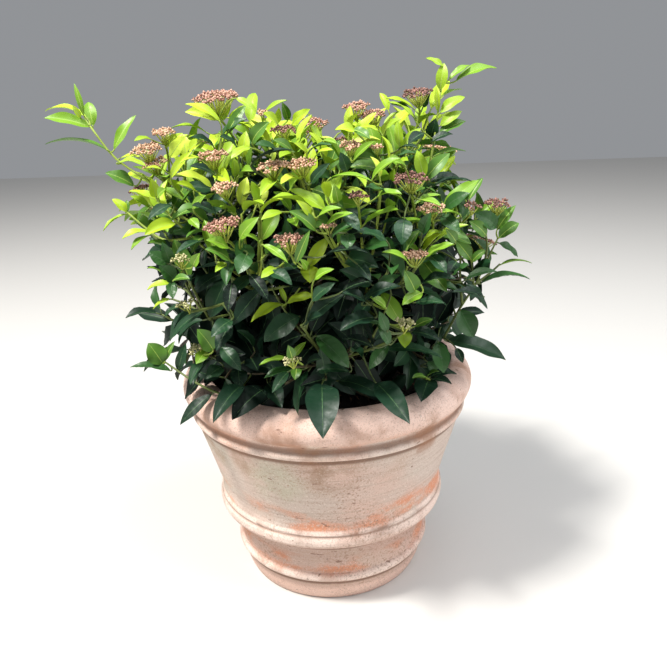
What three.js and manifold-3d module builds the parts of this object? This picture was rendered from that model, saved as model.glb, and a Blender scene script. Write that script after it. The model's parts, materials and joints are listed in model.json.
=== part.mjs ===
// Laurustinus, an evergreen shrub in bud, growing in a rolled-rim terracotta pot.
// Millimetres, +Z up. The origin is the centre of the pot's flat underside, and the front faces -Y.

import * as THREE from 'three';
import { mergeVertices } from 'three/addons/utils/BufferGeometryUtils.js';
import Module from 'manifold-3d';

const wasm = await Module();
wasm.setup();

const UP = new THREE.Vector3(0, 0, 1);
const GOLDEN_ANGLE = Math.PI * (3 - Math.sqrt(5));
const CLEARANCE = 0.3; // between neighbours that touch
const MERGE_DISTANCE = 1e-4; // corners nearer than this are one corner

// Pot, measured on its outside from the underside up
const TURN_STEPS = 36;
const FOOT = { radius: 118.7, pull: 125, pullHeight: 8 };
const LOW_BEAD = { radius: 134.2, bulge: 4.7, middle: 40, halfHeight: 6 };
const BODY = { pull: 126.2, pullHeight: 62 };
const RING_STEP = { inner: 134, height: 97 };
const RING_BEAD = { radius: 154.5, bulge: 5, middle: 108, halfHeight: 9 };
const RING_GROOVE = { radius: 152, lip: 153, height: 117.5, gap: 1.5 };
const WAIST = { radius: 154, height: 150, pull: 146, pullHeight: 130 };
const SHOULDER = { radius: 178, height: 235 };
const BAND = { bulge: 4.6, middle: 240.5, halfHeight: 5.5 };
const NECK = { radius: 180.5, height: 246.5, topRadius: 181.5, topHeight: 250 };
const ROLL = { radius: 190, middle: 270, under: 16.5, underBulge: 12, over: 21, overBulge: 24 };
const LIP = { radius: 155, round: 7 };
const WALL = 16;
const FLOOR = 18;
const FLOOR_ROUND = 4;
const DRAIN = { holes: 3, radius: 5, circle: 45, sides: 12 };

// Compost: level round the trunk, lower towards the pot's wall
const SOIL_TOP = 266;
const SOIL_EDGE = 260;
const SOIL_SLOPE = 2;
const SOIL_FLAT = 40; // radius of the level patch

// Trunk: short, leaning a little, with three low buttresses and a swollen head that the boughs leave
const TRUNK_BASE = SOIL_TOP + CLEARANCE;
const TRUNK_TOP = 346;
const TRUNK_LEAN = new THREE.Vector3(5, -4, 0);
const TRUNK_RADIUS = 14.5;
const TRUNK_FLARE = { radius: 9, falloff: 6, buttresses: 3, share: 0.35, turn: 1 };
const TRUNK_HEAD = { radius: 4, centring: 1.1 };
const TRUNK_KNUCKLES = { radius: 0.8, count: 5, twist: 4 };
const TRUNK_ROUNDING = { from: 0.9, rate: 4 };
const TRUNK_SIDES = 12;
const TRUNK_STEPS = 9;

// Crown: a round plan and a boxy section about this centre, narrower at the pot's rim
const CROWN_CENTRE = new THREE.Vector3(0, 0, 330);
const CROWN_LEFT = 254;
const CROWN_RIGHT = 216;
const CROWN_DEPTH = 230;
const CROWN_HEIGHT = 280;
const CROWN_UNDER = 120;
const CROWN_BOXINESS = 3.4;
const CROWN_TUCK = { share: 0.2, from: -0.15, to: 0.45 }; // from and to are sines of elevation
const TIP_MARGIN = 24; // a shoot stops this far short of the crown's outline

// Shares of the way from the crown's centre to the leading tip of a mass
const SITE_REACH = 0.8;
const BOUGH_REACH = 0.42;
const STEM_REACH = 0.68;

// Boughs: they leave the trunk outwards and bend up to their masses
const BOUGH_BASE_RADIUS = 5.2;
const BOUGH_TIP_RADIUS = 3.2;
const BOUGH_SIDES = 6;
const BOUGH_STEPS = 4;
const BOUGH_PULL = { outward: 0.35, towards: 0.25 };
const HEAD_OFFSET = 7; // how far outside the trunk's axis the top boughs begin

// Twigs: the stem of a mass, the leading shoot that goes on from it, and the shoots that fan out
const STEM_TIP_RADIUS = 2.2;
const STEM_STEPS = 2;
const STEM_PULL = 0.45;
const SHOOT_RADIUS = 2.4;
const SHOOT_TIP_RADIUS = 1.7;
const SHOOT_STEPS = 2;
const SHOOT_SAG = 0.12;
const SHOOT_STARTS = { last: 0.12, range: 0.8 }; // shares of the stem
const LEADER_PULL = 0.4;
const TWIG_SIDES = 3;
const LOWEST_SHOOT = -0.16; // sine of the steepest fall of a shoot
const INNER_EVERY = 3; // every third shoot stays inside the crown
const INNER_REACH = 0.72;
const SEED = { first: 5, mass: 97, shoot: 13 };

// Leaves, in pairs that turn a quarter from one to the next
const LEAF_LENGTH = 76;
const LEAF_VARIATION = 0.3;
const LEAF_WIDTH = 0.5; // share of the length, as the values below are
const LEAF_WIDEST = 0.46;
const LEAF_THICKNESS = 0.02;
const LEAF_FOLD = 0.22;
const LEAF_ARCH = 0.14;
const FIRST_PAIR = 20; // from the shoot's tip, which carries buds
const PAIR_PITCH = 25;
const BARE_SHARE = 0.12; // foot of a shoot that stays bare
const FIRST_LEAF_ANGLE = 34;
const LEAF_ANGLE_STEP = 17;
const LEAF_ANGLE_VARIATION = 12;
const LEAF_DROOP = 0.12;
const LEAF_FACING = { along: 0.7, up: 0.6, back: 0.15 };

// A leaf that doesn't fit is tried again, turned round its shoot in degrees, lifted, or smaller
const LEAF_TRIES = [
  { turn: 0, lift: 0, size: 1 },
  { turn: 0, lift: 0.35, size: 1 },
  { turn: 38, lift: 0.15, size: 1 },
  { turn: -38, lift: 0.15, size: 1 },
  { turn: 70, lift: 0.2, size: 0.85 },
  { turn: -70, lift: 0.2, size: 0.85 },
  { turn: 0, lift: 0.2, size: 0.7 },
];
const FAINT_DETAIL = [0.06, 0.08, 0.1, 0.04]; // sizes below which detail may be dropped, best first

// Flower buds, in flat-topped heads at the tips of some shoots
const BUD_SUNK = 4; // how far the shoot runs up into the head
const BUD_RADIUS = 19;
const BUD_FOOT = 6;
const BUD_DEPTH = 15;
const BUD_CROWN = 3; // rise of the flat top's middle
const BUD_SIDES = 6;

// One record for each ring of foliage masses; a leader replaces the tip of one mass's first shoot
const TIERS = [
  {
    name: 'low', count: 6, first: 270, elevation: -1, spread: 22, start: 289, offset: 0,
    shoots: 7, pairs: 3, budShare: 0.2,
    leaders: { 5: new THREE.Vector3(-176, -96, 322) },
  },
  {
    name: 'middle', count: 7, first: 187, elevation: 32, spread: 22, start: 312, offset: 0,
    shoots: 7, pairs: 3, budShare: 0.5,
    leaders: { 0: new THREE.Vector3(-266, -30, 590), 3: new THREE.Vector3(190, -30, 478) },
  },
  {
    name: 'top', count: 3, first: 262, elevation: 66, spread: 22, start: 332, offset: HEAD_OFFSET,
    shoots: 9, pairs: 3, budShare: 0.6,
    leaders: { 1: new THREE.Vector3(132, -20, 606) },
  },
];

const terracotta = new THREE.MeshStandardMaterial({ color: 0xc9ab92, roughness: 0.9, metalness: 0 });
const compost = new THREE.MeshStandardMaterial({ color: 0x1e1713, roughness: 1, metalness: 0 });
const bark = new THREE.MeshStandardMaterial({ color: 0x6b5644, roughness: 0.9, metalness: 0 });
const foliage = new THREE.MeshStandardMaterial({ color: 0x2f5a34, roughness: 0.55, metalness: 0 });

const model = new THREE.Group();

function addPart(name, geometry, material) {
  const mesh = new THREE.Mesh(geometry, material);
  mesh.name = name;
  model.add(mesh);
}

// A closed geometry as a solid that can be cut and joined
function toSolid(geometry) {
  const bare = geometry.clone();
  bare.deleteAttribute('normal');
  bare.deleteAttribute('uv');
  const merged = mergeVertices(bare, MERGE_DISTANCE);
  const mesh = new wasm.Mesh({
    numProp: 3,
    vertProperties: new Float32Array(merged.attributes.position.array),
    triVerts: new Uint32Array(merged.index.array),
  });
  return new wasm.Manifold(mesh);
}

function toGeometry(solid) {
  const mesh = solid.getMesh();
  const geometry = new THREE.BufferGeometry();
  geometry.setAttribute('position', new THREE.BufferAttribute(mesh.vertProperties, 3));
  geometry.setIndex(new THREE.BufferAttribute(mesh.triVerts, 1));
  geometry.computeVertexNormals();
  return geometry;
}

// The biggest body alone: scraps are dropped and sealed hollows are filled
function mainBody(solid) {
  const bodies = solid.decompose();
  return bodies.reduce((best, body) => (body.volume() > best.volume() ? body : best));
}

// Whether each edge lies between just two faces, once corners at one place are merged
function isSound(solid) {
  const bare = mergeVertices(toGeometry(solid).deleteAttribute('normal'), MERGE_DISTANCE);
  const corners = bare.index.array;
  const uses = new Map();
  for (let i = 0; i < corners.length; i += 1) {
    const next = i % 3 === 2 ? i - 2 : i + 1;
    const edge = [corners[i], corners[next]].sort((a, b) => a - b).join(' ');
    uses.set(edge, (uses.get(edge) ?? 0) + 1);
  }
  return [...uses.values()].every((count) => count === 2);
}

// Numbers from 0 to 1 in an order that the seed fixes; the first few are passed over
function seededRandom(seed) {
  let state = seed >>> 0;
  const next = () => {
    state = (Math.imul(state, 1664525) + 1013904223) >>> 0;
    return state / 2 ** 32;
  };
  for (let i = 0; i < 4; i += 1) {
    next();
  }
  return next;
}

// Turned shapes
function point(radius, height) {
  return new THREE.Vector2(radius, height);
}

function arc(x, z, radiusX, radiusZ, from, to, steps) {
  const start = THREE.MathUtils.degToRad(from);
  const end = THREE.MathUtils.degToRad(to);
  return new THREE.EllipseCurve(x, z, radiusX, radiusZ, start, end, to < from).getPoints(steps);
}

function bend(from, pull, to, steps) {
  return new THREE.QuadraticBezierCurve(from, pull, to).getPoints(steps);
}

function bead(radius, spec, from, to, steps) {
  return arc(radius - spec.bulge, spec.middle, spec.bulge, spec.halfHeight, from, to, steps);
}

// A profile that runs from axis to axis, turned about +Z
function turned(points) {
  const geometry = new THREE.LatheGeometry(points, TURN_STEPS);
  geometry.rotateX(Math.PI / 2);
  const solid = toSolid(geometry);
  return solid.volume() < 0 ? turned(points.slice().reverse()) : solid;
}

// Every point of a line moved sideways, to its left as the line runs
function shifted(points, distance) {
  return points.map((here, i) => {
    const before = points[Math.max(i - 1, 0)];
    const after = points[Math.min(i + 1, points.length - 1)];
    const along = after.clone().sub(before).normalize();
    return point(Math.max(here.x - along.y * distance, 0), here.y + along.x * distance);
  });
}

// Pot and compost
function potOutside() {
  const foot = point(FOOT.radius, 0);
  const lowBead = bead(LOW_BEAD.radius, LOW_BEAD, -90, 90, 3);
  const step = point(RING_STEP.inner, RING_STEP.height);
  const grooveLip = point(RING_GROOVE.lip, RING_GROOVE.height + RING_GROOVE.gap);
  const waist = point(WAIST.radius, WAIST.height);
  return [
    point(0, 0),
    ...bend(foot, point(FOOT.pull, FOOT.pullHeight), lowBead[0], 2),
    ...lowBead.slice(1),
    ...bend(lowBead.at(-1), point(BODY.pull, BODY.pullHeight), step, 3).slice(1),
    ...bead(RING_BEAD.radius, RING_BEAD, -80, 55, 3),
    point(RING_GROOVE.radius, RING_GROOVE.height),
    ...bend(grooveLip, point(WAIST.pull, WAIST.pullHeight), waist, 3),
    ...bead(SHOULDER.radius + BAND.bulge, BAND, -90, 60, 2),
    point(NECK.radius, NECK.height),
    point(NECK.topRadius, NECK.topHeight),
    ...arc(ROLL.radius - ROLL.underBulge, ROLL.middle, ROLL.underBulge, ROLL.under, -72, 0, 2),
    ...arc(ROLL.radius - ROLL.overBulge, ROLL.middle, ROLL.overBulge, ROLL.over, 0, 90, 4).slice(1),
  ];
}

// The inside follows the body at the wall's thickness, from the rim's lip to the floor
function potInside() {
  const rimTop = ROLL.middle + ROLL.over;
  const body = [
    point(SHOULDER.radius, SHOULDER.height),
    point(WAIST.pull, WAIST.pullHeight),
    point(RING_STEP.inner, RING_STEP.height),
    point(LOW_BEAD.radius - LOW_BEAD.bulge, LOW_BEAD.middle),
    point(FOOT.radius, FLOOR),
  ];
  return [
    ...arc(LIP.radius + LIP.round, rimTop - LIP.round, LIP.round, LIP.round, 90, 180, 2),
    ...shifted(body, -WALL),
    point(FOOT.radius - WALL - FLOOR_ROUND, FLOOR),
    point(0, FLOOR),
  ];
}

function potSolid(grow) {
  return turned(shifted([...potOutside(), ...potInside()], -grow));
}

function drainHoles() {
  const holes = [];
  for (let i = 0; i < DRAIN.holes; i += 1) {
    const hole = new THREE.CylinderGeometry(DRAIN.radius, DRAIN.radius, FLOOR * 2, DRAIN.sides);
    hole.rotateX(Math.PI / 2);
    const centre = heading((360 / DRAIN.holes) * i + 90, 0).multiplyScalar(DRAIN.circle);
    hole.translate(centre.x, centre.y, FLOOR / 2);
    holes.push(toSolid(hole));
  }
  return wasm.Manifold.union(holes);
}

// The compost fills the pot's inside up to the edge height, clear of the wall
function soilSolid(rise) {
  const inside = potInside();
  const under = inside.findIndex((p) => p.y < SOIL_EDGE);
  const above = inside[under - 1];
  const below = inside[under];
  const edge = below.clone().lerp(above, (SOIL_EDGE - below.y) / (above.y - below.y));
  const sides = shifted([above, edge, ...inside.slice(under)], -CLEARANCE).slice(1);
  return turned([
    point(0, SOIL_TOP + rise),
    point(SOIL_FLAT, SOIL_TOP + rise),
    point((SOIL_FLAT + LIP.radius) / 2, SOIL_TOP - SOIL_SLOPE + rise),
    point(sides[0].x, sides[0].y + rise),
    ...sides.slice(1),
  ]);
}

// A limb of few sides that tapers along a curve, straight between its rings
function limb(curve, from, to, sides, steps) {
  const geometry = new THREE.CylinderGeometry(1, 1, 1, sides, steps);
  const frames = curve.computeFrenetFrames(steps, false);
  const place = geometry.attributes.position;
  const at = new THREE.Vector3();
  for (let i = 0; i < place.count; i += 1) {
    const share = place.getY(i) + 0.5;
    const ring = Math.round(share * steps);
    const radius = from + (to - from) * share;
    at.copy(curve.getPointAt(share));
    at.addScaledVector(frames.binormals[ring], place.getX(i) * radius);
    at.addScaledVector(frames.normals[ring], place.getZ(i) * radius);
    place.setXYZ(i, at.x, at.y, at.z);
  }
  return toSolid(geometry);
}

// A point on such a limb's middle line
function onLimb(curve, share, steps) {
  const ring = Math.min(Math.floor(share * steps), steps - 1);
  const from = curve.getPointAt(ring / steps);
  return from.lerp(curve.getPointAt((ring + 1) / steps), share * steps - ring);
}

function trunkAxis(height) {
  const share = (height - TRUNK_BASE) / (TRUNK_TOP - TRUNK_BASE);
  return new THREE.Vector3(TRUNK_LEAN.x * share * share, TRUNK_LEAN.y * share, height);
}

// The trunk's radius at a share of its height and an angle round it
function trunkRadius(share, turn) {
  const buttress = Math.cos(TRUNK_FLARE.buttresses * turn + TRUNK_FLARE.turn);
  const flare = TRUNK_FLARE.radius * (1 - share) ** TRUNK_FLARE.falloff * (1 + TRUNK_FLARE.share * buttress);
  const head = TRUNK_HEAD.radius * Math.sin(Math.PI * Math.min(share * TRUNK_HEAD.centring, 1)) ** 2;
  const knuckle = Math.cos(TRUNK_KNUCKLES.count * turn + TRUNK_KNUCKLES.twist * share);
  const rounding = 1 - TRUNK_ROUNDING.rate * Math.max(share - TRUNK_ROUNDING.from, 0);
  return (TRUNK_RADIUS + flare + head + TRUNK_KNUCKLES.radius * knuckle) * rounding;
}

// The trunk's rings are level, so its foot is a flat cut on the compost
function trunkSolid(grow) {
  const geometry = new THREE.CylinderGeometry(1, 1, 1, TRUNK_SIDES, TRUNK_STEPS);
  geometry.rotateX(Math.PI / 2);
  const place = geometry.attributes.position;
  for (let i = 0; i < place.count; i += 1) {
    const share = place.getZ(i) + 0.5;
    const radius = trunkRadius(share, Math.atan2(place.getY(i), place.getX(i))) + grow;
    const centre = trunkAxis(TRUNK_BASE + share * (TRUNK_TOP - TRUNK_BASE));
    place.setXYZ(i, centre.x + place.getX(i) * radius, centre.y + place.getY(i) * radius, centre.z);
  }
  return toSolid(geometry);
}

// How far the crown's leaves reach from its centre in a direction
function crownReach(direction) {
  const width = direction.x < 0 ? CROWN_LEFT : CROWN_RIGHT;
  const height = direction.z > 0 ? CROWN_HEIGHT : CROWN_UNDER;
  const open = THREE.MathUtils.smoothstep(direction.z, CROWN_TUCK.from, CROWN_TUCK.to);
  const tuck = 1 - CROWN_TUCK.share * (1 - open);
  const across = Math.hypot(direction.x / width, direction.y / CROWN_DEPTH) / tuck;
  const upward = Math.abs(direction.z) / height;
  return (across ** CROWN_BOXINESS + upward ** CROWN_BOXINESS) ** (-1 / CROWN_BOXINESS);
}

function heading(azimuth, elevation) {
  const turn = THREE.MathUtils.degToRad(azimuth);
  const rise = THREE.MathUtils.degToRad(elevation);
  return new THREE.Vector3(Math.cos(turn) * Math.cos(rise), Math.sin(turn) * Math.cos(rise), Math.sin(rise));
}

function fromCentre(direction, distance) {
  return CROWN_CENTRE.clone().addScaledVector(direction, distance);
}

// The masses: each has its own direction, leading tip, bough, stem and space
function planMasses() {
  const masses = [];
  for (const tier of TIERS) {
    for (let i = 0; i < tier.count; i += 1) {
      const azimuth = tier.first + (360 / tier.count) * i;
      const direction = heading(azimuth, tier.elevation);
      const tip = tier.leaders[i] ?? fromCentre(direction, crownReach(direction) - TIP_MARGIN);
      const towards = tip.clone().sub(CROWN_CENTRE);
      const boughEnd = fromCentre(towards, BOUGH_REACH);
      const outward = heading(azimuth, 0);
      const start = trunkAxis(tier.start).addScaledVector(outward, tier.offset);
      const pull = start.clone().addScaledVector(outward, boughEnd.distanceTo(start) * BOUGH_PULL.outward);
      pull.lerp(boughEnd, BOUGH_PULL.towards);
      masses.push({
        name: `${tier.name}_${i + 1}`,
        index: masses.length,
        tier,
        direction,
        tip,
        bough: new THREE.QuadraticBezierCurve3(start, pull, boughEnd),
        stemEnd: fromCentre(towards, STEM_REACH),
        site: fromCentre(towards, SITE_REACH),
      });
    }
  }
  return masses;
}

// A mass keeps to the points that lie nearer to its own site than to any other
function insideSpace(masses, mass, place) {
  return masses.every((other) => {
    if (other === mass) {
      return true;
    }
    const between = other.site.clone().sub(mass.site);
    const width = between.length();
    const along = place.clone().sub(mass.site).dot(between) / width;
    return along < width / 2 - CLEARANCE;
  });
}

function boughSolid(mass, grow) {
  return limb(mass.bough, BOUGH_BASE_RADIUS + grow, BOUGH_TIP_RADIUS + grow, BOUGH_SIDES, BOUGH_STEPS);
}

// The stem goes on from its bough's tip, a hair clear of it
function stemCurve(mass) {
  const end = mass.bough.v2;
  const along = end.clone().sub(mass.bough.v1).normalize();
  const start = end.clone().addScaledVector(along, CLEARANCE);
  const pull = start.clone().addScaledVector(along, start.distanceTo(mass.stemEnd) * STEM_PULL);
  return new THREE.QuadraticBezierCurve3(start, pull, mass.stemEnd);
}

function leadingCurve(mass, stem) {
  const along = stem.getTangentAt(1);
  const back = mass.stemEnd.clone().addScaledVector(along, -SHOOT_RADIUS);
  const pull = mass.stemEnd.clone().addScaledVector(along, back.distanceTo(mass.tip) * LEADER_PULL);
  return new THREE.QuadraticBezierCurve3(back, pull, mass.tip);
}

// A side shoot: the shoots of a mass spread like seeds on a flower head, the last ones widest
function sideCurve(mass, stem, k) {
  const side = new THREE.Vector3().crossVectors(UP, mass.direction).normalize();
  const over = new THREE.Vector3().crossVectors(mass.direction, side);
  const open = THREE.MathUtils.degToRad(mass.tier.spread) * Math.sqrt(k / (mass.tier.shoots - 1));
  const turn = k * GOLDEN_ANGLE + mass.index;
  const direction = mass.direction.clone().multiplyScalar(Math.cos(open));
  direction.addScaledVector(side, Math.sin(open) * Math.cos(turn));
  direction.addScaledVector(over, Math.sin(open) * Math.sin(turn));
  direction.z = Math.max(direction.z, LOWEST_SHOOT);
  direction.normalize();
  const inner = k % INNER_EVERY === INNER_EVERY - 1 ? INNER_REACH : 1;
  const tip = fromCentre(direction, (crownReach(direction) - TIP_MARGIN) * inner);
  const share = SHOOT_STARTS.last + SHOOT_STARTS.range * (1 - k / mass.tier.shoots);
  const start = onLimb(stem, share, STEM_STEPS);
  const pull = start.clone().lerp(tip, 0.5);
  pull.z -= start.distanceTo(tip) * SHOOT_SAG;
  return new THREE.QuadraticBezierCurve3(start, pull, tip);
}

// Leaves along a shoot: pairs from the tip back, each a quarter turn on from the last.
// The end pair of a leading shoot opens up and down, so that its leaves reach furthest.
function planLeaves(mass, curve, random, k) {
  const leaves = [];
  const length = curve.getLength();
  const roll = k === 0 ? Math.PI / 2 : random() * Math.PI;
  for (let j = 0; j < mass.tier.pairs; j += 1) {
    const share = 1 - (j * PAIR_PITCH + FIRST_PAIR) / length;
    if (share < BARE_SHARE) {
      break;
    }
    for (const hand of [0, Math.PI]) {
      const wobble = (random() - 0.5) * LEAF_ANGLE_VARIATION;
      leaves.push({
        shoot: k,
        pair: j,
        root: onLimb(curve, share, SHOOT_STEPS),
        axis: curve.getTangentAt(share),
        turn: roll + (j * Math.PI) / 2 + hand,
        angle: THREE.MathUtils.degToRad(FIRST_LEAF_ANGLE + LEAF_ANGLE_STEP * j + wobble),
        size: LEAF_LENGTH * (1 + LEAF_VARIATION * (random() - 0.5)),
      });
    }
  }
  return leaves;
}

// The way a leaf points, and the way its upper face looks
function poseLeaf(leaf, attempt) {
  const side = new THREE.Vector3().crossVectors(UP, leaf.axis).normalize();
  const over = new THREE.Vector3().crossVectors(leaf.axis, side);
  const turn = leaf.turn + THREE.MathUtils.degToRad(attempt.turn);
  const radial = side.multiplyScalar(Math.cos(turn)).addScaledVector(over, Math.sin(turn));
  const direction = leaf.axis.clone().multiplyScalar(Math.cos(leaf.angle));
  direction.addScaledVector(radial, Math.sin(leaf.angle));
  direction.z += attempt.lift - LEAF_DROOP * (leaf.pair + 1);
  direction.normalize();
  const facing = leaf.axis.clone().multiplyScalar(LEAF_FACING.along);
  facing.addScaledVector(UP, LEAF_FACING.up).addScaledVector(radial, -LEAF_FACING.back);
  facing.addScaledVector(direction, -facing.dot(direction)).normalize();
  return { direction, facing };
}

// A leaf is an octahedron with its six corners moved: folded along its rib and arched to its tip
function leafPiece(leaf, attempt) {
  const { direction, facing } = poseLeaf(leaf, attempt);
  const across = new THREE.Vector3().crossVectors(facing, direction);
  const size = leaf.size * attempt.size;
  const halfWidth = (size * LEAF_WIDTH) / 2;
  const halfThickness = (size * LEAF_THICKNESS) / 2;
  const geometry = new THREE.OctahedronGeometry(1, 0);
  const place = geometry.attributes.position;
  const at = new THREE.Vector3();
  for (let i = 0; i < place.count; i += 1) {
    const sideways = place.getY(i);
    let along = size * LEAF_WIDEST;
    let lift = halfThickness * place.getZ(i) + halfWidth * LEAF_FOLD * Math.abs(sideways);
    if (Math.abs(place.getX(i)) > 0.5) {
      const isTip = place.getX(i) > 0;
      along = isTip ? size : 0;
      lift = isTip ? -size * LEAF_ARCH : 0;
    }
    at.copy(leaf.root).addScaledVector(direction, along);
    at.addScaledVector(across, halfWidth * sideways).addScaledVector(facing, lift);
    place.setXYZ(i, at.x, at.y, at.z);
  }
  return asPiece(toSolid(geometry), { shoot: leaf.shoot, pair: leaf.pair });
}

// A head of buds is a six-sided cup with a low crown, on the end of its shoot
function budPiece(tip, axis, shoot) {
  const head = new THREE.CylinderGeometry(BUD_RADIUS, BUD_FOOT, BUD_DEPTH, BUD_SIDES, 1);
  const place = head.attributes.position;
  for (let i = 0; i < place.count; i += 1) {
    if (place.getY(i) > 0 && Math.hypot(place.getX(i), place.getZ(i)) < 1) {
      place.setY(i, place.getY(i) + BUD_CROWN);
    }
  }
  head.applyQuaternion(new THREE.Quaternion().setFromUnitVectors(new THREE.Vector3(0, 1, 0), axis));
  const seat = tip.clone().addScaledVector(axis, BUD_DEPTH / 2 - BUD_SUNK);
  head.translate(seat.x, seat.y, seat.z);
  return asPiece(toSolid(head), { shoot });
}

function twigPiece(curve, from, to, steps, owner) {
  return asPiece(limb(curve, from, to, TWIG_SIDES, steps), owner);
}

// A solid with its corners and the shoot and pair that it belongs to
function asPiece(solid, owner) {
  const { vertProperties } = solid.getMesh();
  const corners = [];
  for (let i = 0; i < vertProperties.length; i += 3) {
    corners.push(new THREE.Vector3().fromArray(vertProperties, i));
  }
  return { solid, corners, ...owner };
}

// Leaves of one pair, and a leaf and its own twig, may meet; any other two pieces may not cross
function crosses(piece, other) {
  const together = other.shoot === piece.shoot && (other.twig || other.pair === piece.pair);
  return !together && !piece.solid.intersect(other.solid).isEmpty();
}

// A mass: its stem, then the shoots, buds and leaves that keep to its space and cross nothing
function massSolid(masses, mass, obstacles) {
  const fits = (piece) =>
    piece.corners.every((corner) => insideSpace(masses, mass, corner)) &&
    piece.solid.intersect(obstacles).isEmpty();
  const stem = stemCurve(mass);
  const pieces = [twigPiece(stem, BOUGH_TIP_RADIUS, STEM_TIP_RADIUS, STEM_STEPS, { twig: true })];
  const shoots = [];
  for (let k = 0; k < mass.tier.shoots; k += 1) {
    const random = seededRandom(mass.index * SEED.mass + k * SEED.shoot + SEED.first);
    const curve = k === 0 ? leadingCurve(mass, stem) : sideCurve(mass, stem, k);
    const twig = twigPiece(curve, SHOOT_RADIUS, SHOOT_TIP_RADIUS, SHOOT_STEPS, { shoot: k, twig: true });
    if (fits(twig)) {
      pieces.push(twig);
      shoots.push({ k, curve, random });
    }
  }
  const add = (piece) => {
    const good = fits(piece) && !pieces.some((other) => crosses(piece, other));
    if (good) {
      pieces.push(piece);
    }
    return good;
  };
  for (const { k, curve, random } of shoots) {
    if (random() < mass.tier.budShare) {
      add(budPiece(curve.v2, curve.getTangentAt(1), k));
    }
    for (const leaf of planLeaves(mass, curve, random, k)) {
      LEAF_TRIES.some((attempt) => add(leafPiece(leaf, attempt)));
    }
  }
  const joined = wasm.Manifold.union(pieces.map((piece) => piece.solid)).asOriginal();
  const simpler = FAINT_DETAIL.map((size) => mainBody(joined.simplify(size)));
  return simpler.find(isSound);
}

addPart('pot', toGeometry(potSolid(0).subtract(drainHoles())), terracotta);
addPart('soil', toGeometry(soilSolid(0)), compost);

// Trunk and boughs, whose feet are cut to the trunk
const masses = planMasses();
addPart('trunk', toGeometry(trunkSolid(0)), bark);
const trunkSpace = trunkSolid(CLEARANCE);
for (const mass of masses) {
  const whole = boughSolid(mass, 0);
  addPart(`bough_${mass.name}`, toGeometry(mainBody(whole.subtract(trunkSpace))), bark);
}

// Foliage, which keeps clear of the limbs, the pot and the compost
const limbs = masses.map((mass) => boughSolid(mass, CLEARANCE));
const obstacles = wasm.Manifold.union([...limbs, trunkSpace, potSolid(1), soilSolid(1)]);
for (const mass of masses) {
  addPart(`foliage_${mass.name}`, toGeometry(massSolid(masses, mass, obstacles)), foliage);
}

export default model;
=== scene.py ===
"""Potted laurustinus in bud: its looks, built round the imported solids.

Growth is worked out in millimetres, by the same rule as the solids and carried to finer twigs.
Meshes are in metres. +Z is up and the front faces -Y.
"""

import json
import math
from dataclasses import dataclass
from typing import NamedTuple

import bpy
import numpy as np
from mathutils import Matrix, Vector, noise
from mathutils.geometry import tessellate_polygon

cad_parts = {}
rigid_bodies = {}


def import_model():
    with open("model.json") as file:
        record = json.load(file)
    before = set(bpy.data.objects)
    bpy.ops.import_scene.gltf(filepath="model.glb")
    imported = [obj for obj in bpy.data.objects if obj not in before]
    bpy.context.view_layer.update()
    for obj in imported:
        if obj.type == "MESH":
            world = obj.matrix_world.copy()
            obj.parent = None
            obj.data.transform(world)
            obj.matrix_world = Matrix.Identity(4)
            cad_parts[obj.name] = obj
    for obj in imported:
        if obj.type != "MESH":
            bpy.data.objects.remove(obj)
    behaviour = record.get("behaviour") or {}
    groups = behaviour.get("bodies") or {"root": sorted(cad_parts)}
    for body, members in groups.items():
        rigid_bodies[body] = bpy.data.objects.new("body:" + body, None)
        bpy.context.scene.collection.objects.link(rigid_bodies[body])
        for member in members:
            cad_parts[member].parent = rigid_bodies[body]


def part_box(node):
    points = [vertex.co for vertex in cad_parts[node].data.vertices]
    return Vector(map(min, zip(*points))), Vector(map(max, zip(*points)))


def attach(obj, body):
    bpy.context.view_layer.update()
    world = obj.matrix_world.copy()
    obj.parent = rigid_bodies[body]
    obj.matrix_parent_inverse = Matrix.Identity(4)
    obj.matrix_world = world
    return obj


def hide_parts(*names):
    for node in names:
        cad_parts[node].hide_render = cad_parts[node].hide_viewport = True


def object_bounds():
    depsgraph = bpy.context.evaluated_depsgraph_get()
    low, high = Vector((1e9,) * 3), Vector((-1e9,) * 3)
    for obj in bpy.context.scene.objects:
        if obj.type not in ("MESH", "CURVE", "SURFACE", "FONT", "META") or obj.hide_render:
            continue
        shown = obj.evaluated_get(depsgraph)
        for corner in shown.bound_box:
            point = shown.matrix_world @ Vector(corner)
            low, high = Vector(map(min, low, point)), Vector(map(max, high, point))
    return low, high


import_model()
solid_low, solid_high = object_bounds()

MM = 0.001
UP = np.array([0.0, 0.0, 1.0])
GOLDEN_ANGLE = math.pi * (3 - math.sqrt(5))
CLEARANCE = 0.3

# Camera, fitted to the pot's rings
CAMERA_PLACE = np.array([10.2, -836.0, 612.0])
CAMERA_PITCH = 19.0
CAMERA_ROLL = 1.91
FOCAL_PIXELS = 670.0
IMAGE_PIXELS = 667.0
SENSOR = 36.0

# Pot, from the frame and from sizes that the solid also has
_, pot_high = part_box("pot")
_, soil_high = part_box("soil")
trunk_low, trunk_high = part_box("trunk")
RIM_RADIUS = pot_high.x / MM
RIM_TOP = pot_high.z / MM
SOIL_TOP = soil_high.z / MM
FOOT = {"radius": 118.7, "pull": (125, 8)}
LOW_BEAD = {"radius": 134.2, "bulge": 4.7, "middle": 40, "half": 6}
BODY_PULL = (126.2, 62)
RING_STEP = (134, 97)
RING_BEAD = {"radius": 154.5, "bulge": 5, "middle": 108, "half": 9}
RING_GROOVE = {"radius": 152, "lip": 153, "height": 117.5, "gap": 1.5}
WAIST = (154, 150)
WAIST_PULL = (146, 130)
SHOULDER = (178, 235)
BAND = {"radius": 182.6, "bulge": 4.6, "middle": 240.5, "half": 5.5}
NECK = ((180.5, 246.5), (181.5, 250))
ROLL = {"middle": 270, "under": 16.5, "under_bulge": 12, "over": 21, "over_bulge": 24}
LIP = {"radius": 155, "round": 7}
WALL = 16
FLOOR = 18
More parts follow.
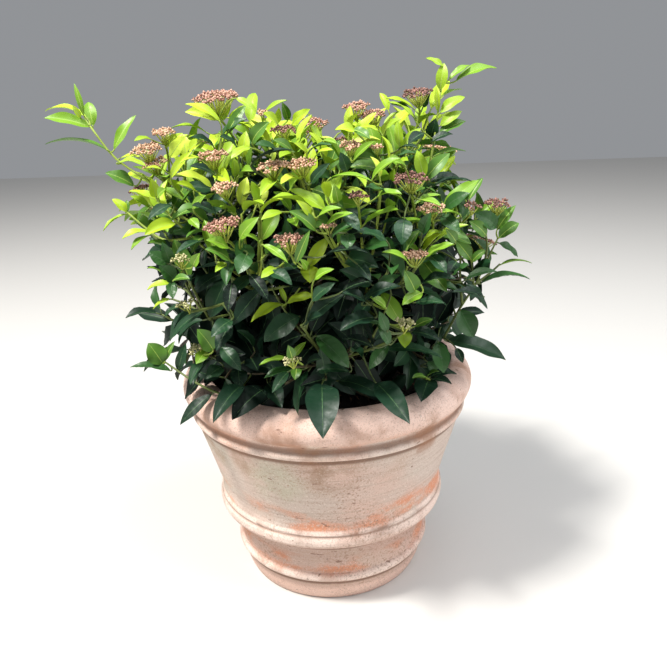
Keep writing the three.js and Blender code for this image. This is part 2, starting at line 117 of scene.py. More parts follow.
FLOOR_ROUND = 4
DRAIN = {"holes": 3, "radius": 5, "circle": 45, "first": 90, "sides": 16}
POT_SIDES = 210
POT_STEP = 1.6  # spacing of the profile's points outside
INSIDE_STEP = 7

# Relief of the pot; the lines of the potter's hands fade in and out between heights
THROWING_LINE = {
    "pitch": 5.4, "depth": 0.2, "drift": 2.4, "in": (48, 60), "out": (228, 236), "least": 0.35,
}
POT_WOBBLE = {"depth": 0.5, "scale": 0.02}
POT_CHIPS = {"depth": 0.9, "scale": 0.16, "from": 0.52, "to": 0.72}
POT_GRAIN = {"depth": 0.12, "scale": 0.5}
POT_FOOT_FADE = (1, 12)  # heights between which the relief begins

# Heights of marks on the pot, in metres: middle, half height, soft edge and strength
BARE_BANDS = ((0.136, 0.008, 0.02, 0.95), (0.058, 0.006, 0.013, 0.9), (0.246, 0.008, 0.014, 0.5))
# Painted shade in the grooves and under the beads, the ring, the band and the roll
CREVICE_SHADE_BANDS = (
    (0.1178, 0.0012, 0.003, 0.6), (0.2475, 0.0022, 0.0045, 0.75), (0.0915, 0.006, 0.0035, 0.9),
    (0.0325, 0.0016, 0.004, 0.85), (0.2325, 0.0014, 0.004, 0.85), (0.078, 0.004, 0.022, 0.22),
    (0.0275, 0.002, 0.008, 0.3),
)
# Pale worn clay, with a painted highlight along the lips and the crests of the beads
WORN_AND_HIGHLIT_BANDS = (
    (0.1205, 0.002, 0.003, 0.7), (0.1095, 0.0035, 0.004, 0.6), (0.0415, 0.003, 0.004, 0.6),
    (0.2405, 0.003, 0.003, 0.4),
)

# Soft patches on the front of the pot, in metres: centre, radius, soft edge, strength and tint
# The greenish-grey patch at the left tints the clay; the brown ones in the middle and at the right
# are painted shade on the body's front
PATCHES = (
    ((-0.062, -0.152, 0.198), 0.012, 0.04, 0.75, (188, 184, 162)),
    ((0.0, -0.17, 0.216), 0.008, 0.04, 0.8, (164, 136, 114)),
    ((0.085, -0.145, 0.21), 0.006, 0.03, 0.4, (182, 156, 136)),
)

# Clay: its ground, then blotches as scale, start and full level of the noise, strength, stretch,
# detail and colour, then tinted heights as the marks above
CLAY_GROUND = (204, 188, 177)
CLAY_BLOTCHES = (
    (7, 0.42, 0.62, 0.7, None, 5, (212, 178, 163)),
    (11, 0.5, 0.66, 0.6, (1, 1, 1.6), 5, (198, 193, 178)),
    (16, 0.45, 0.66, 0.55, (0.5, 0.5, 18), 5, (184, 164, 150)),
)
CLAY_HEIGHTS = (
    (0.05, 0.045, 0.03, 0.5, (214, 178, 163)),
    (0.016, 0.012, 0.01, 0.75, (238, 203, 187)),
    (0.282, 0.016, 0.012, 0.8, (236, 204, 190)),
)

# Ragged edges of the patches, bare clay and its grain, sand, the painted shade of the grooves, and
# worn rings with their painted highlight, as blotches with their stretch and colour
PATCH_EDGE = ((34, 0.3, 0.6), (1, 1, 1.5))
BARE_CLAY = ((24, 0.42, 0.62), (0.6, 0.6, 1.4), (300, 0.2, 0.5, 1.0, None, 3), (216, 146, 112))
CLAY_SAND = ((520, 0.54, 0.72, 0.35, None, 3), (244, 232, 224))
CREVICE_SHADE_COLOUR = (116, 88, 72)
WORN_AND_HIGHLIT_CLAY = ((40, 0.32, 0.58), (246, 227, 216))

# Stains at a height: middle, half height and soft edge, then blotches and colour
CLAY_STAINS = (
    ((0.218, 0.008, 0.026), (14, 0.54, 0.7, 0.6, (1.6, 1.6, 0.5), 8), (160, 130, 104)),
    ((0.26, 0.03, 0.02), (19, 0.47, 0.68, 0.7, None, 8), (154, 110, 82)),
)

# Grit where the clay is dirty, then nicks and specks
GRIT = ((9, 0.44, 0.62, 1.0), (330, 0.52, 0.66, 0.6, None, 4), (152, 118, 96))
CLAY_SPECKS = (
    (64, 0.7, 0.73, 0.75, (1, 1, 2.6), 3, (126, 94, 78)),
    (620, 0.5, 0.7, 0.5, None, 3, (166, 132, 114)),
    (260, 0.67, 0.75, 0.45, None, 2, (104, 82, 70)),
)
CLAY_BUMP = (700, 0.5, 0.0009, 5)  # scale, strength, depth in metres and detail

# Compost: a dome that falls to its edge, with crumbs and slips of bark on it; pairs of values are
# the least and the range
SOIL_EDGE = LIP["radius"] + 3
SOIL_RINGS = 56
SOIL_SIDES = 150
SOIL_FALL = {"depth": 5.5, "from": 40}
SOIL_LUMPS = ((1.6, 0.09, 0), (1.1, 0.3, 5))  # depth, scale and level of the noise
SOIL_SINK = 0.8
SOIL_GAP = 1  # from the pot's wall
SOIL_GRAIN = (900, 0.6)
SOIL_COLOURS = {"compost": (40, 30, 24), "crumbs": (54, 40, 31), "bark_slips": (104, 78, 56)}
CRUMBS = {"seed": 41, "count": 1500, "edge": 6, "rise": 0.8, "size": (1.0, 2.6), "bud_share": 0.8}
SLIPS = {"count": 150, "edge": 14, "rise": 1.6, "tilt": 24, "half": (4, 7), "sides": 4}

# Trunk
TRUNK_BASE = trunk_low.z / MM
TRUNK_TOP = trunk_high.z / MM
TRUNK_LEAN = np.array([5.0, -4.0, 0.0])
TRUNK_RADIUS = 14.5
TRUNK_FLARE = {"radius": 9, "falloff": 6, "buttresses": 3, "share": 0.35, "turn": 1}
TRUNK_HEAD = {"radius": 4, "centring": 1.1}
TRUNK_KNUCKLES = {"radius": 0.8, "count": 5, "twist": 4}
TRUNK_ROUNDING = {"from": 0.9, "rate": 4}
TRUNK_SIDES = 72
TRUNK_STEPS = 70
TRUNK_ROOM = {"radii": (4, 9, 14, 19), "turn": 0.3, "step": 3.5, "rise": 6}  # where no leaf may be
BARK_DEPTH = {"trunk": 0.7, "bough": 0.35}

# Crown: a round plan and a boxy section about this centre, narrower at the pot's rim
CROWN_CENTRE = np.array([0.0, 0.0, 330.0])
CROWN_LEFT = 254
CROWN_RIGHT = 216
CROWN_DEPTH = 230
CROWN_HEIGHT = 280
CROWN_UNDER = 120
CROWN_BOXINESS = 3.4
CROWN_TUCK = {"share": 0.2, "from": -0.15, "to": 0.45}
TIP_MARGIN = 24

# The rule of the masses, boughs and main shoots
BOUGH_REACH = 0.42
STEM_REACH = 0.68
BOUGH_BASE_RADIUS = 5.2
BOUGH_TIP_RADIUS = 3.2
BOUGH_PULL = {"outward": 0.35, "towards": 0.25}
HEAD_OFFSET = 7
STEM_PULL = 0.45
SHOOT_SAG = 0.12
SHOOT_STARTS = {"last": 0.12, "range": 0.8}
LEADER_PULL = 0.4
LOWEST_SHOOT = -0.16
INNER_EVERY = 3
INNER_REACH = 0.72
SEED = {"first": 5, "mass": 97, "shoot": 13}
TIERS = (
    {"name": "low", "count": 6, "first": 270, "elevation": -1, "spread": 22, "start": 289,
     "offset": 0, "shoots": 7, "bud_share": 0.2, "leaders": {5: (-176, -96, 322)}},
    {"name": "middle", "count": 7, "first": 187, "elevation": 32, "spread": 22, "start": 312,
     "offset": 0, "shoots": 7, "bud_share": 0.5,
     "leaders": {0: (-266, -30, 590), 3: (190, -30, 478)}},
    {"name": "top", "count": 3, "first": 262, "elevation": 66, "spread": 22, "start": 332,
     "offset": HEAD_OFFSET, "shoots": 9, "bud_share": 0.6, "leaders": {1: (132, -20, 606)}},
)

# Finer twigs
STEM_RADIUS = (2.8, 2.0)
SHOOT_RADIUS = (1.9, 1.25)
TWIG_RADIUS = (1.4, 0.95)
SPRIG_RADIUS = (1.7, 1.1)
TWIG_ORDERS = (
    {"count": 5, "starts": (0.15, 0.8), "length": (50, 100), "opening": 48, "lift": 0.42,
     "seed": 5000},
    {"count": 3, "starts": (0.1, 0.7), "length": (36, 70), "opening": 56, "lift": 0.3,
     "seed": 7000},
)
TWIG_RULE = {"jitter": 0.7, "opening": 14, "pull": 0.5, "seed": 7}  # on top of each order's own
CORE = {"low": 0.68, "high": 0.97, "from": 395, "to": 550, "front": 0.08}
CROWN_EDGE = 0.99  # share of the crown's reach where leaves end
TWIG_MARGIN = 0.07  # twigs end this much earlier
LEAF_MARGIN = 0.08  # the middle of a leaf may be this much further out
STRAYS = {"every": 3, "behind": 110, "below": 555, "reach": 1.07}  # twigs that may stand out
TIP_SPACING = (16, 12.5)  # low and high in the crown
TIP_HEIGHTS = (420, 540)
POT_GAP = {"twig": 4, "leaf": 1.2}
LIME_TWIGS = {"above": 480, "share": 0.8}
OLIVE_TWIGS = {"above": 380, "share": 0.7}

# Heads of buds: a fan of rays, each with a knot of buds, makes a flat plate
HEAD_WIDTH = (30, 44)
HEAD_RISE = 1.0  # of the head's radius, from the tip of the shoot to the plate
HEAD_DROOP = 0.14
HEAD_SIDES = np.array([[-16, 0, 0], [0, 0, 0], [16, 0, 0]])  # from its tip, for the skyline
HEAD_LAYERS = (-3, 0, 3, 6)  # above the knots, where no leaf may be
HEAD_LEAN = 0.3  # share of the shoot's own way in the head's axis
HEAD_CHANCE = 0.3
HEAD_SPACING = 46  # at least this far apart where they aren't seen in the photo
LOWEST_HEAD = 420
HEAD_EDGE = 0.8  # share of the crown's reach beyond which heads are grown
HEAD_BEHIND = {"from": 540, "high": 80, "low": -20}  # how far back, high and low in the crown
GROWN_TINTS = ("pink", "tan", "tan", "dark")
KNOT_AREA = 44  # of the plate, for each ray
RAY_RADII = (1.05, 0.75, 0.5)

# Rays and buds; pairs of values are the least and the range
RAYS = {"seed": 11, "first": 0.4, "reach": (0.9, 0.16), "turn": 0.3, "rise": 2.2}
RAY_FORM = {"bow": 0.08, "foot": 2, "lean": 1.6, "sides": 4}
BUD_RADIUS = 1.45
BUDS = {
    "seed": 29, "opening": (52, 14), "out": (2.5, 0.5), "sink": 0.6, "size": (0.72, 0.46),
    "second_tint": 1.3,
}
BUD_STALK_COLOUR = (176, 186, 80)
# Tints of the heads; dark paints the shade on seen heads that stand in shade, and is a tone on grown
# ones
BUD_TINTS = {
    "pink": (("buds_pink", (202, 158, 138)), ("buds_rose", (144, 98, 82))),
    "tan": (("buds_tan", (218, 180, 150)), ("buds_fawn", (174, 132, 104))),
    "dark": (("buds_brown", (112, 78, 68)), ("buds_dusky", (160, 116, 104))),
    "green": (("buds_cream", (200, 194, 146)), ("buds_green", (140, 144, 88))),
}


class SeenHead(NamedTuple):
    pixel: tuple
    stalk: tuple  # pixel lower down its stalk
    width: float  # in pixels
    tint: str


# Heads that the photo shows. Each sits where its line of sight meets the crown.
# Heads in shade take the dark tint, which is painted shade.
HEADS_SEEN = [SeenHead(*row) for row in (
    ((217, 94), (226, 132), 42, "pink"),
    ((163, 131), (170, 152), 22, "tan"),
    ((148, 147), (160, 168), 28, "tan"),
    ((157, 161), (168, 178), 24, "tan"),
    ((213, 154), (222, 178), 28, "tan"),
    ((225, 185), (237, 208), 26, "tan"),
    ((224, 222), (240, 250), 36, "pink"),
    ((262, 112), (263, 132), 12, "tan"),
    ((284, 128), (288, 152), 22, "dark"),
    ((314, 121), (311, 145), 26, "pink"),
    ((273, 164), (283, 196), 30, "tan"),
    ((302, 162), (312, 190), 30, "tan"),
    ((356, 105), (360, 130), 26, "pink"),
    ((373, 113), (380, 134), 26, "pink"),
    ((350, 144), (352, 166), 22, "tan"),
    ((376, 147), (380, 160), 10, "tan"),
    ((419, 91), (425, 118), 28, "dark"),
    ((411, 176), (412, 202), 32, "dark"),
    ((432, 206), (436, 226), 26, "tan"),
    ((358, 195), (360, 216), 18, "dark"),
    ((415, 254), (415, 290), 24, "tan"),
    ((472, 205), (467, 221), 16, "dark"),
    ((497, 202), (499, 229), 24, "dark"),
    ((290, 238), (292, 266), 30, "pink"),
    ((329, 226), (328, 240), 14, "tan"),
    ((404, 322), (395, 346), 21, "green"),
    ((293, 359), (305, 370), 17, "green"),
    ((188, 303), (204, 315), 18, "green"),
    ((198, 347), (215, 360), 18, "green"),
    ((181, 258), (188, 282), 19, "green"),
)]
HEAD_DEPTH = 0.93  # share of the crown's reach at which a head sits
HEAD_BOW = 3  # a seen head's shoot is lowered by this power of the share of its length
STALK_DEPTH = 20  # the pixel lower down its stalk is this much further away
SIGHT_STEPS = (450, 1250, 4)  # distances tried along a line of sight
STEM_BEND_COST = 1.6
LEAF_STALK = {"bend_cost": 0.5, "turn": 10, "share": 0.4, "lap": 1.5, "radii": (1.2, 0.8)}
SEEN_SEEDS = {"leaf": 300, "limb": 600, "head": 700, "tip": 800, "stem": 900}

# Dips in the crown's skyline, which nothing grown fills: first and last column, and lowest row
SKY_DIPS = (
    (322, 338, 137), (338, 343, 124), (343, 370, 101),
    (386, 403, 95), (458, 484, 177), (484, 530, 194),
)

# Young leafy tips that the photo shows: pixel of the tip and pixel lower down the shoot
TIPS_SEEN = (
    ((241, 160), (238, 182)), ((242, 208), (240, 228)), ((257, 210), (262, 236)),
    ((263, 240), (264, 262)), ((310, 265), (305, 288)), ((284, 306), (302, 322)),
    ((290, 130), (292, 150)), ((346, 130), (352, 152)), ((184, 156), (186, 178)),
    ((205, 186), (208, 204)), ((130, 166), (148, 182)), ((397, 148), (400, 172)),
    ((388, 108), (396, 130)), ((330, 196), (326, 216)), ((309, 200), (313, 224)),
    ((212, 254), (222, 276)), ((250, 122), (252, 146)), ((236, 122), (232, 146)),
    ((330, 150), (330, 172)), ((380, 176), (384, 198)), ((385, 345), (376, 366)),
)

# Stems that stand clear of the crown: pixels outwards, and how far in front of the pot's middle
STEMS_SEEN = (
    (((196, 214), (150, 182), (115, 158), (90, 126)), (60, 45, 36, 30)),
    (((404, 226), (424, 185), (433, 148), (438, 112), (442, 82)), (75, 58, 42, 32, 24)),
    (((444, 338), (460, 308), (474, 287), (487, 260), (498, 238)), (80, 66, 56, 48, 44)),
    (((474, 287), (472, 268), (470, 256)), (56, 60, 62)),
    (((476, 284), (490, 273), (500, 264)), (55, 46, 40)),
    (((484, 266), (487, 248), (486, 234)), (50, 58, 64)),
    (((462, 304), (460, 270), (463, 234), (467, 221)), (68, 62, 58, 56)),
    (((248, 392), (222, 394), (195, 382), (165, 362)), (108, 126, 118, 92)),
    (((190, 238), (165, 240), (147, 229), (128, 213)), (90, 80, 68, 60)),
    (((196, 262), (178, 256), (160, 242), (149, 232)), (95, 84, 76, 70)),
    (((205, 316), (188, 292), (172, 284)), (105, 94, 86)),
    (((208, 318), (190, 306), (172, 299)), (106, 96, 88)),
    (((190, 222), (172, 210), (158, 201)), (92, 86, 80)),
    (((405, 366), (416, 376), (429, 379)), (90, 102, 114)),
)


class SeenLeaf(NamedTuple):
    base: tuple  # pixel where the blade starts
    tip: tuple  # pixel where it ends
    base_near: float  # how far its base is in front of the pot's middle
    tip_near: float
    width: float  # share of its length
    upward: float  # 1 where it faces up, 0 where it faces the viewer
    # its colour, with the light or shade on it painted in
    shade: str


# Leaves that stand out in the photo
LEAVES_SEEN = [SeenLeaf(*row) for row in (
    # Long shoot at the upper left
    ((90, 127), (44, 118), 30, 44, 0.34, 0.5, "green"),
    ((86, 117), (45, 111), 20, 6, 0.24, 0.9, "lime"),
    ((84, 116), (74, 83), 25, 24, 0.18, 0.2, "green"),
    ((81, 118), (72, 105), 32, 38, 0.4, 0.3, "lime"),
    ((93, 126), (88, 102), 16, 2, 0.44, 0.2, "green"),
    ((107, 150), (45, 144), 40, 50, 0.27, 1.0, "mid"),
    ((114, 150), (136, 115), 26, 12, 0.26, 0.6, "green"),
    ((117, 163), (146, 166), 50, 60, 0.34, 0.8, "fresh"),
    ((134, 186), (105, 173), 44, 50, 0.46, 0.5, "mid"),
    # Sprigs down the left side
    ((157, 201), (129, 191), 80, 85, 0.4, 0.8, "lime"),
    ((127, 212), (112, 199), 60, 60, 0.5, 0.5, "lime"),
    ((126, 213), (127, 200), 55, 50, 0.5, 0.3, "mid"),
    ((126, 214), (103, 231), 62, 75, 0.32, 1.0, "fresh"),
    ((149, 232), (122, 239), 70, 80, 0.38, 0.8, "lime"),
    ((147, 236), (131, 250), 74, 84, 0.4, 0.8, "green"),
    ((168, 264), (149, 252), 84, 84, 0.62, 0.2, "deep"),
    ((172, 285), (147, 290), 86, 90, 0.42, 0.8, "lime"),
    ((171, 299), (153, 309), 88, 92, 0.36, 0.8, "lime"),
    ((182, 304), (164, 317), 92, 96, 0.4, 0.8, "dark"),
    ((228, 272), (192, 296), 110, 116, 0.36, 0.6, "darkest"),
    ((226, 280), (210, 318), 116, 126, 0.5, 0.3, "dark"),
    ((263, 288), (233, 325), 134, 142, 0.4, 0.4, "darkest"),
    ((300, 316), (264, 342), 150, 160, 0.48, 0.4, "dark"),
    # Low stem at the left, and leaves over the rim beside it
    ((163, 364), (148, 343), 92, 90, 0.78, 0.3, "mid"),
    ((171, 371), (130, 367), 96, 102, 0.32, 0.8, "deep"),
    ((165, 361), (175, 341), 88, 82, 0.3, 0.5, "mid"),
    ((178, 371), (186, 343), 98, 94, 0.32, 0.3, "dark"),
    ((212, 394), (180, 425), 122, 140, 0.31, 0.6, "darkest"),
    ((243, 385), (213, 423), 140, 196, 0.32, 0.6, "darkest"),
    ((266, 388), (232, 420), 142, 182, 0.5, 0.6, "blackish"),
    ((268, 383), (282, 408), 134, 172, 0.45, 0.5, "darkest"),
    ((238, 368), (240, 388), 128, 146, 0.75, 0.4, "darkest"),
    # Front, over the rim
    ((322, 384), (323, 439), 186, 252, 0.46, 0.25, "darkest"),
    ((376, 383), (410, 424), 168, 240, 0.32, 0.4, "darkest"),
    ((338, 381), (386, 400), 142, 176, 0.34, 0.6, "darkest"),
    ((429, 380), (421, 402), 118, 166, 0.5, 0.4, "darkest"),
    ((431, 379), (452, 384), 114, 134, 0.4, 0.8, "darkest"),
    ((430, 377), (457, 374), 110, 110, 0.4, 0.8, "darkest"),
    ((380, 350), (443, 358), 150, 160, 0.26, 0.8, "dark"),
    ((388, 345), (369, 370), 160, 176, 0.42, 0.5, "deep"),
    ((316, 336), (349, 368), 160, 176, 0.42, 0.4, "deep"),
    ((350, 372), (316, 371), 166, 170, 0.34, 0.7, "dark"),
    ((288, 358), (259, 365), 165, 176, 0.3, 0.9, "green"),
    ((298, 370), (264, 378), 160, 172, 0.3, 0.8, "deep"),
    ((297, 368), (295, 380), 166, 180, 0.7, 0.5, "mid"),
    ((294, 356), (306, 342), 160, 160, 0.4, 0.4, "green"),
    # Bright sprigs in the middle
    ((283, 304), (251, 322), 152, 166, 0.34, 0.7, "lime"),
    ((287, 303), (316, 296), 152, 160, 0.36, 0.6, "lime"),
    ((286, 302), (279, 285), 146, 140, 0.3, 0.3, "fresh"),
    ((308, 268), (329, 237), 142, 130, 0.34, 0.3, "lime"),
    ((309, 266), (310, 283), 146, 166, 0.75, 0.5, "lime"),
    ((312, 279), (339, 281), 138, 144, 0.28, 0.8, "mid"),
    ((262, 240), (279, 211), 140, 126, 0.42, 0.3, "green"),
    ((242, 158), (246, 131), 80, 72, 0.42, 0.2, "lime"),
    ((240, 205), (247, 177), 106, 96, 0.42, 0.3, "pale"),
    ((256, 208), (267, 184), 108, 96, 0.5, 0.4, "pale"),
    ((212, 188), (176, 174), 100, 112, 0.4, 0.7, "pale"),
    ((186, 158), (183, 134), 54, 46, 0.5, 0.3, "pale"),
    ((220, 121), (185, 104), 100, 106, 0.29, 0.6, "lime"),
    ((236, 98), (257, 112), 100, 104, 0.34, 0.5, "fresh"),
    ((227, 134), (246, 105), 96, 84, 0.3, 0.4, "mid"),
    ((400, 322), (381, 292), 142, 130, 0.45, 0.3, "green"),
    ((405, 331), (405, 348), 156, 172, 0.7, 0.5, "fresh"),
    ((414, 327), (433, 319), 146, 146, 0.5, 0.6, "mid"),
    # Leading shoot at the upper right
    ((440, 90), (444, 63), 28, 24, 0.44, 0.2, "fresh"),
    ((438, 112), (436, 87), 32, 36, 0.24, 0.3, "lime"),
    ((444, 67), (426, 58), 25, 26, 0.36, 0.6, "fresh"),
    ((449, 80), (470, 65), 22, 14, 0.28, 0.6, "green"),
    ((456, 81), (497, 68), 19, 10, 0.3, 0.7, "green"),
    ((441, 97), (462, 89), 28, 20, 0.28, 0.9, "green"),
    ((440, 113), (465, 97), 34, 30, 0.38, 0.5, "fresh"),
    ((440, 126), (462, 111), 36, 34, 0.4, 0.4, "fresh"),
    ((439, 135), (466, 121), 38, 32, 0.42, 0.6, "mid"),
    ((431, 142), (453, 134), 44, 44, 0.42, 0.6, "darkest"),
    ((431, 158), (466, 151), 45, 40, 0.36, 0.9, "mid"),
    ((424, 178), (417, 150), 74, 68, 0.45, 0.2, "fresh"),
    ((424, 181), (450, 153), 68, 60, 0.36, 0.3, "mid"),
    ((430, 182), (459, 177), 62, 60, 0.42, 0.6, "darkest"),
    ((443, 208), (479, 180), 74, 66, 0.32, 0.4, "green"),
    ((416, 122), (388, 102), 62, 66, 0.34, 0.8, "fresh"),
    ((400, 148), (397, 120), 82, 80, 0.32, 0.3, "fresh"),
    ((402, 148), (421, 128), 82, 76, 0.36, 0.4, "fresh"),
    ((408, 208), (372, 190), 114, 122, 0.34, 0.8, "green"),
    ((414, 205), (441, 195), 112, 108, 0.32, 0.8, "green"),
    # Sprigs and large leaves at the right
    ((446, 341), (506, 360), 76, 86, 0.36, 0.7, "dark"),
    ((438, 342), (444, 373), 120, 136, 0.52, 0.3, "deep"),
    ((456, 348), (463, 363), 100, 112, 0.5, 0.4, "darkest"),
    ((460, 310), (474, 337), 72, 80, 0.68, 0.2, "deep"),
    ((480, 284), (530, 279), 52, 50, 0.27, 1.0, "deep"),
    ((500, 265), (532, 263), 40, 38, 0.27, 1.0, "green"),
    ((499, 243), (518, 257), 40, 34, 0.42, 0.6, "deep"),
    ((499, 238), (519, 223), 42, 38, 0.5, 0.4, "mid"),
    ((497, 230), (516, 205), 50, 54, 0.34, 0.4, "mid"),
    ((497, 227), (475, 213), 54, 62, 0.6, 0.3, "deep"),
    ((486, 236), (469, 221), 64, 70, 0.5, 0.4, "mid"),
    ((463, 236), (462, 221), 60, 60, 0.68, 0.3, "dark"),
    ((471, 260), (455, 240), 62, 60, 0.5, 0.4, "mid"),
    ((472, 262), (486, 250), 62, 66, 0.5, 0.5, "mid"),
)]


class CrownLeaf(NamedTuple):
    """A leaf seen on the crown's surface, with the meanings above."""

    base: tuple
    tip: tuple
    width: float
    upward: float
    shade: str


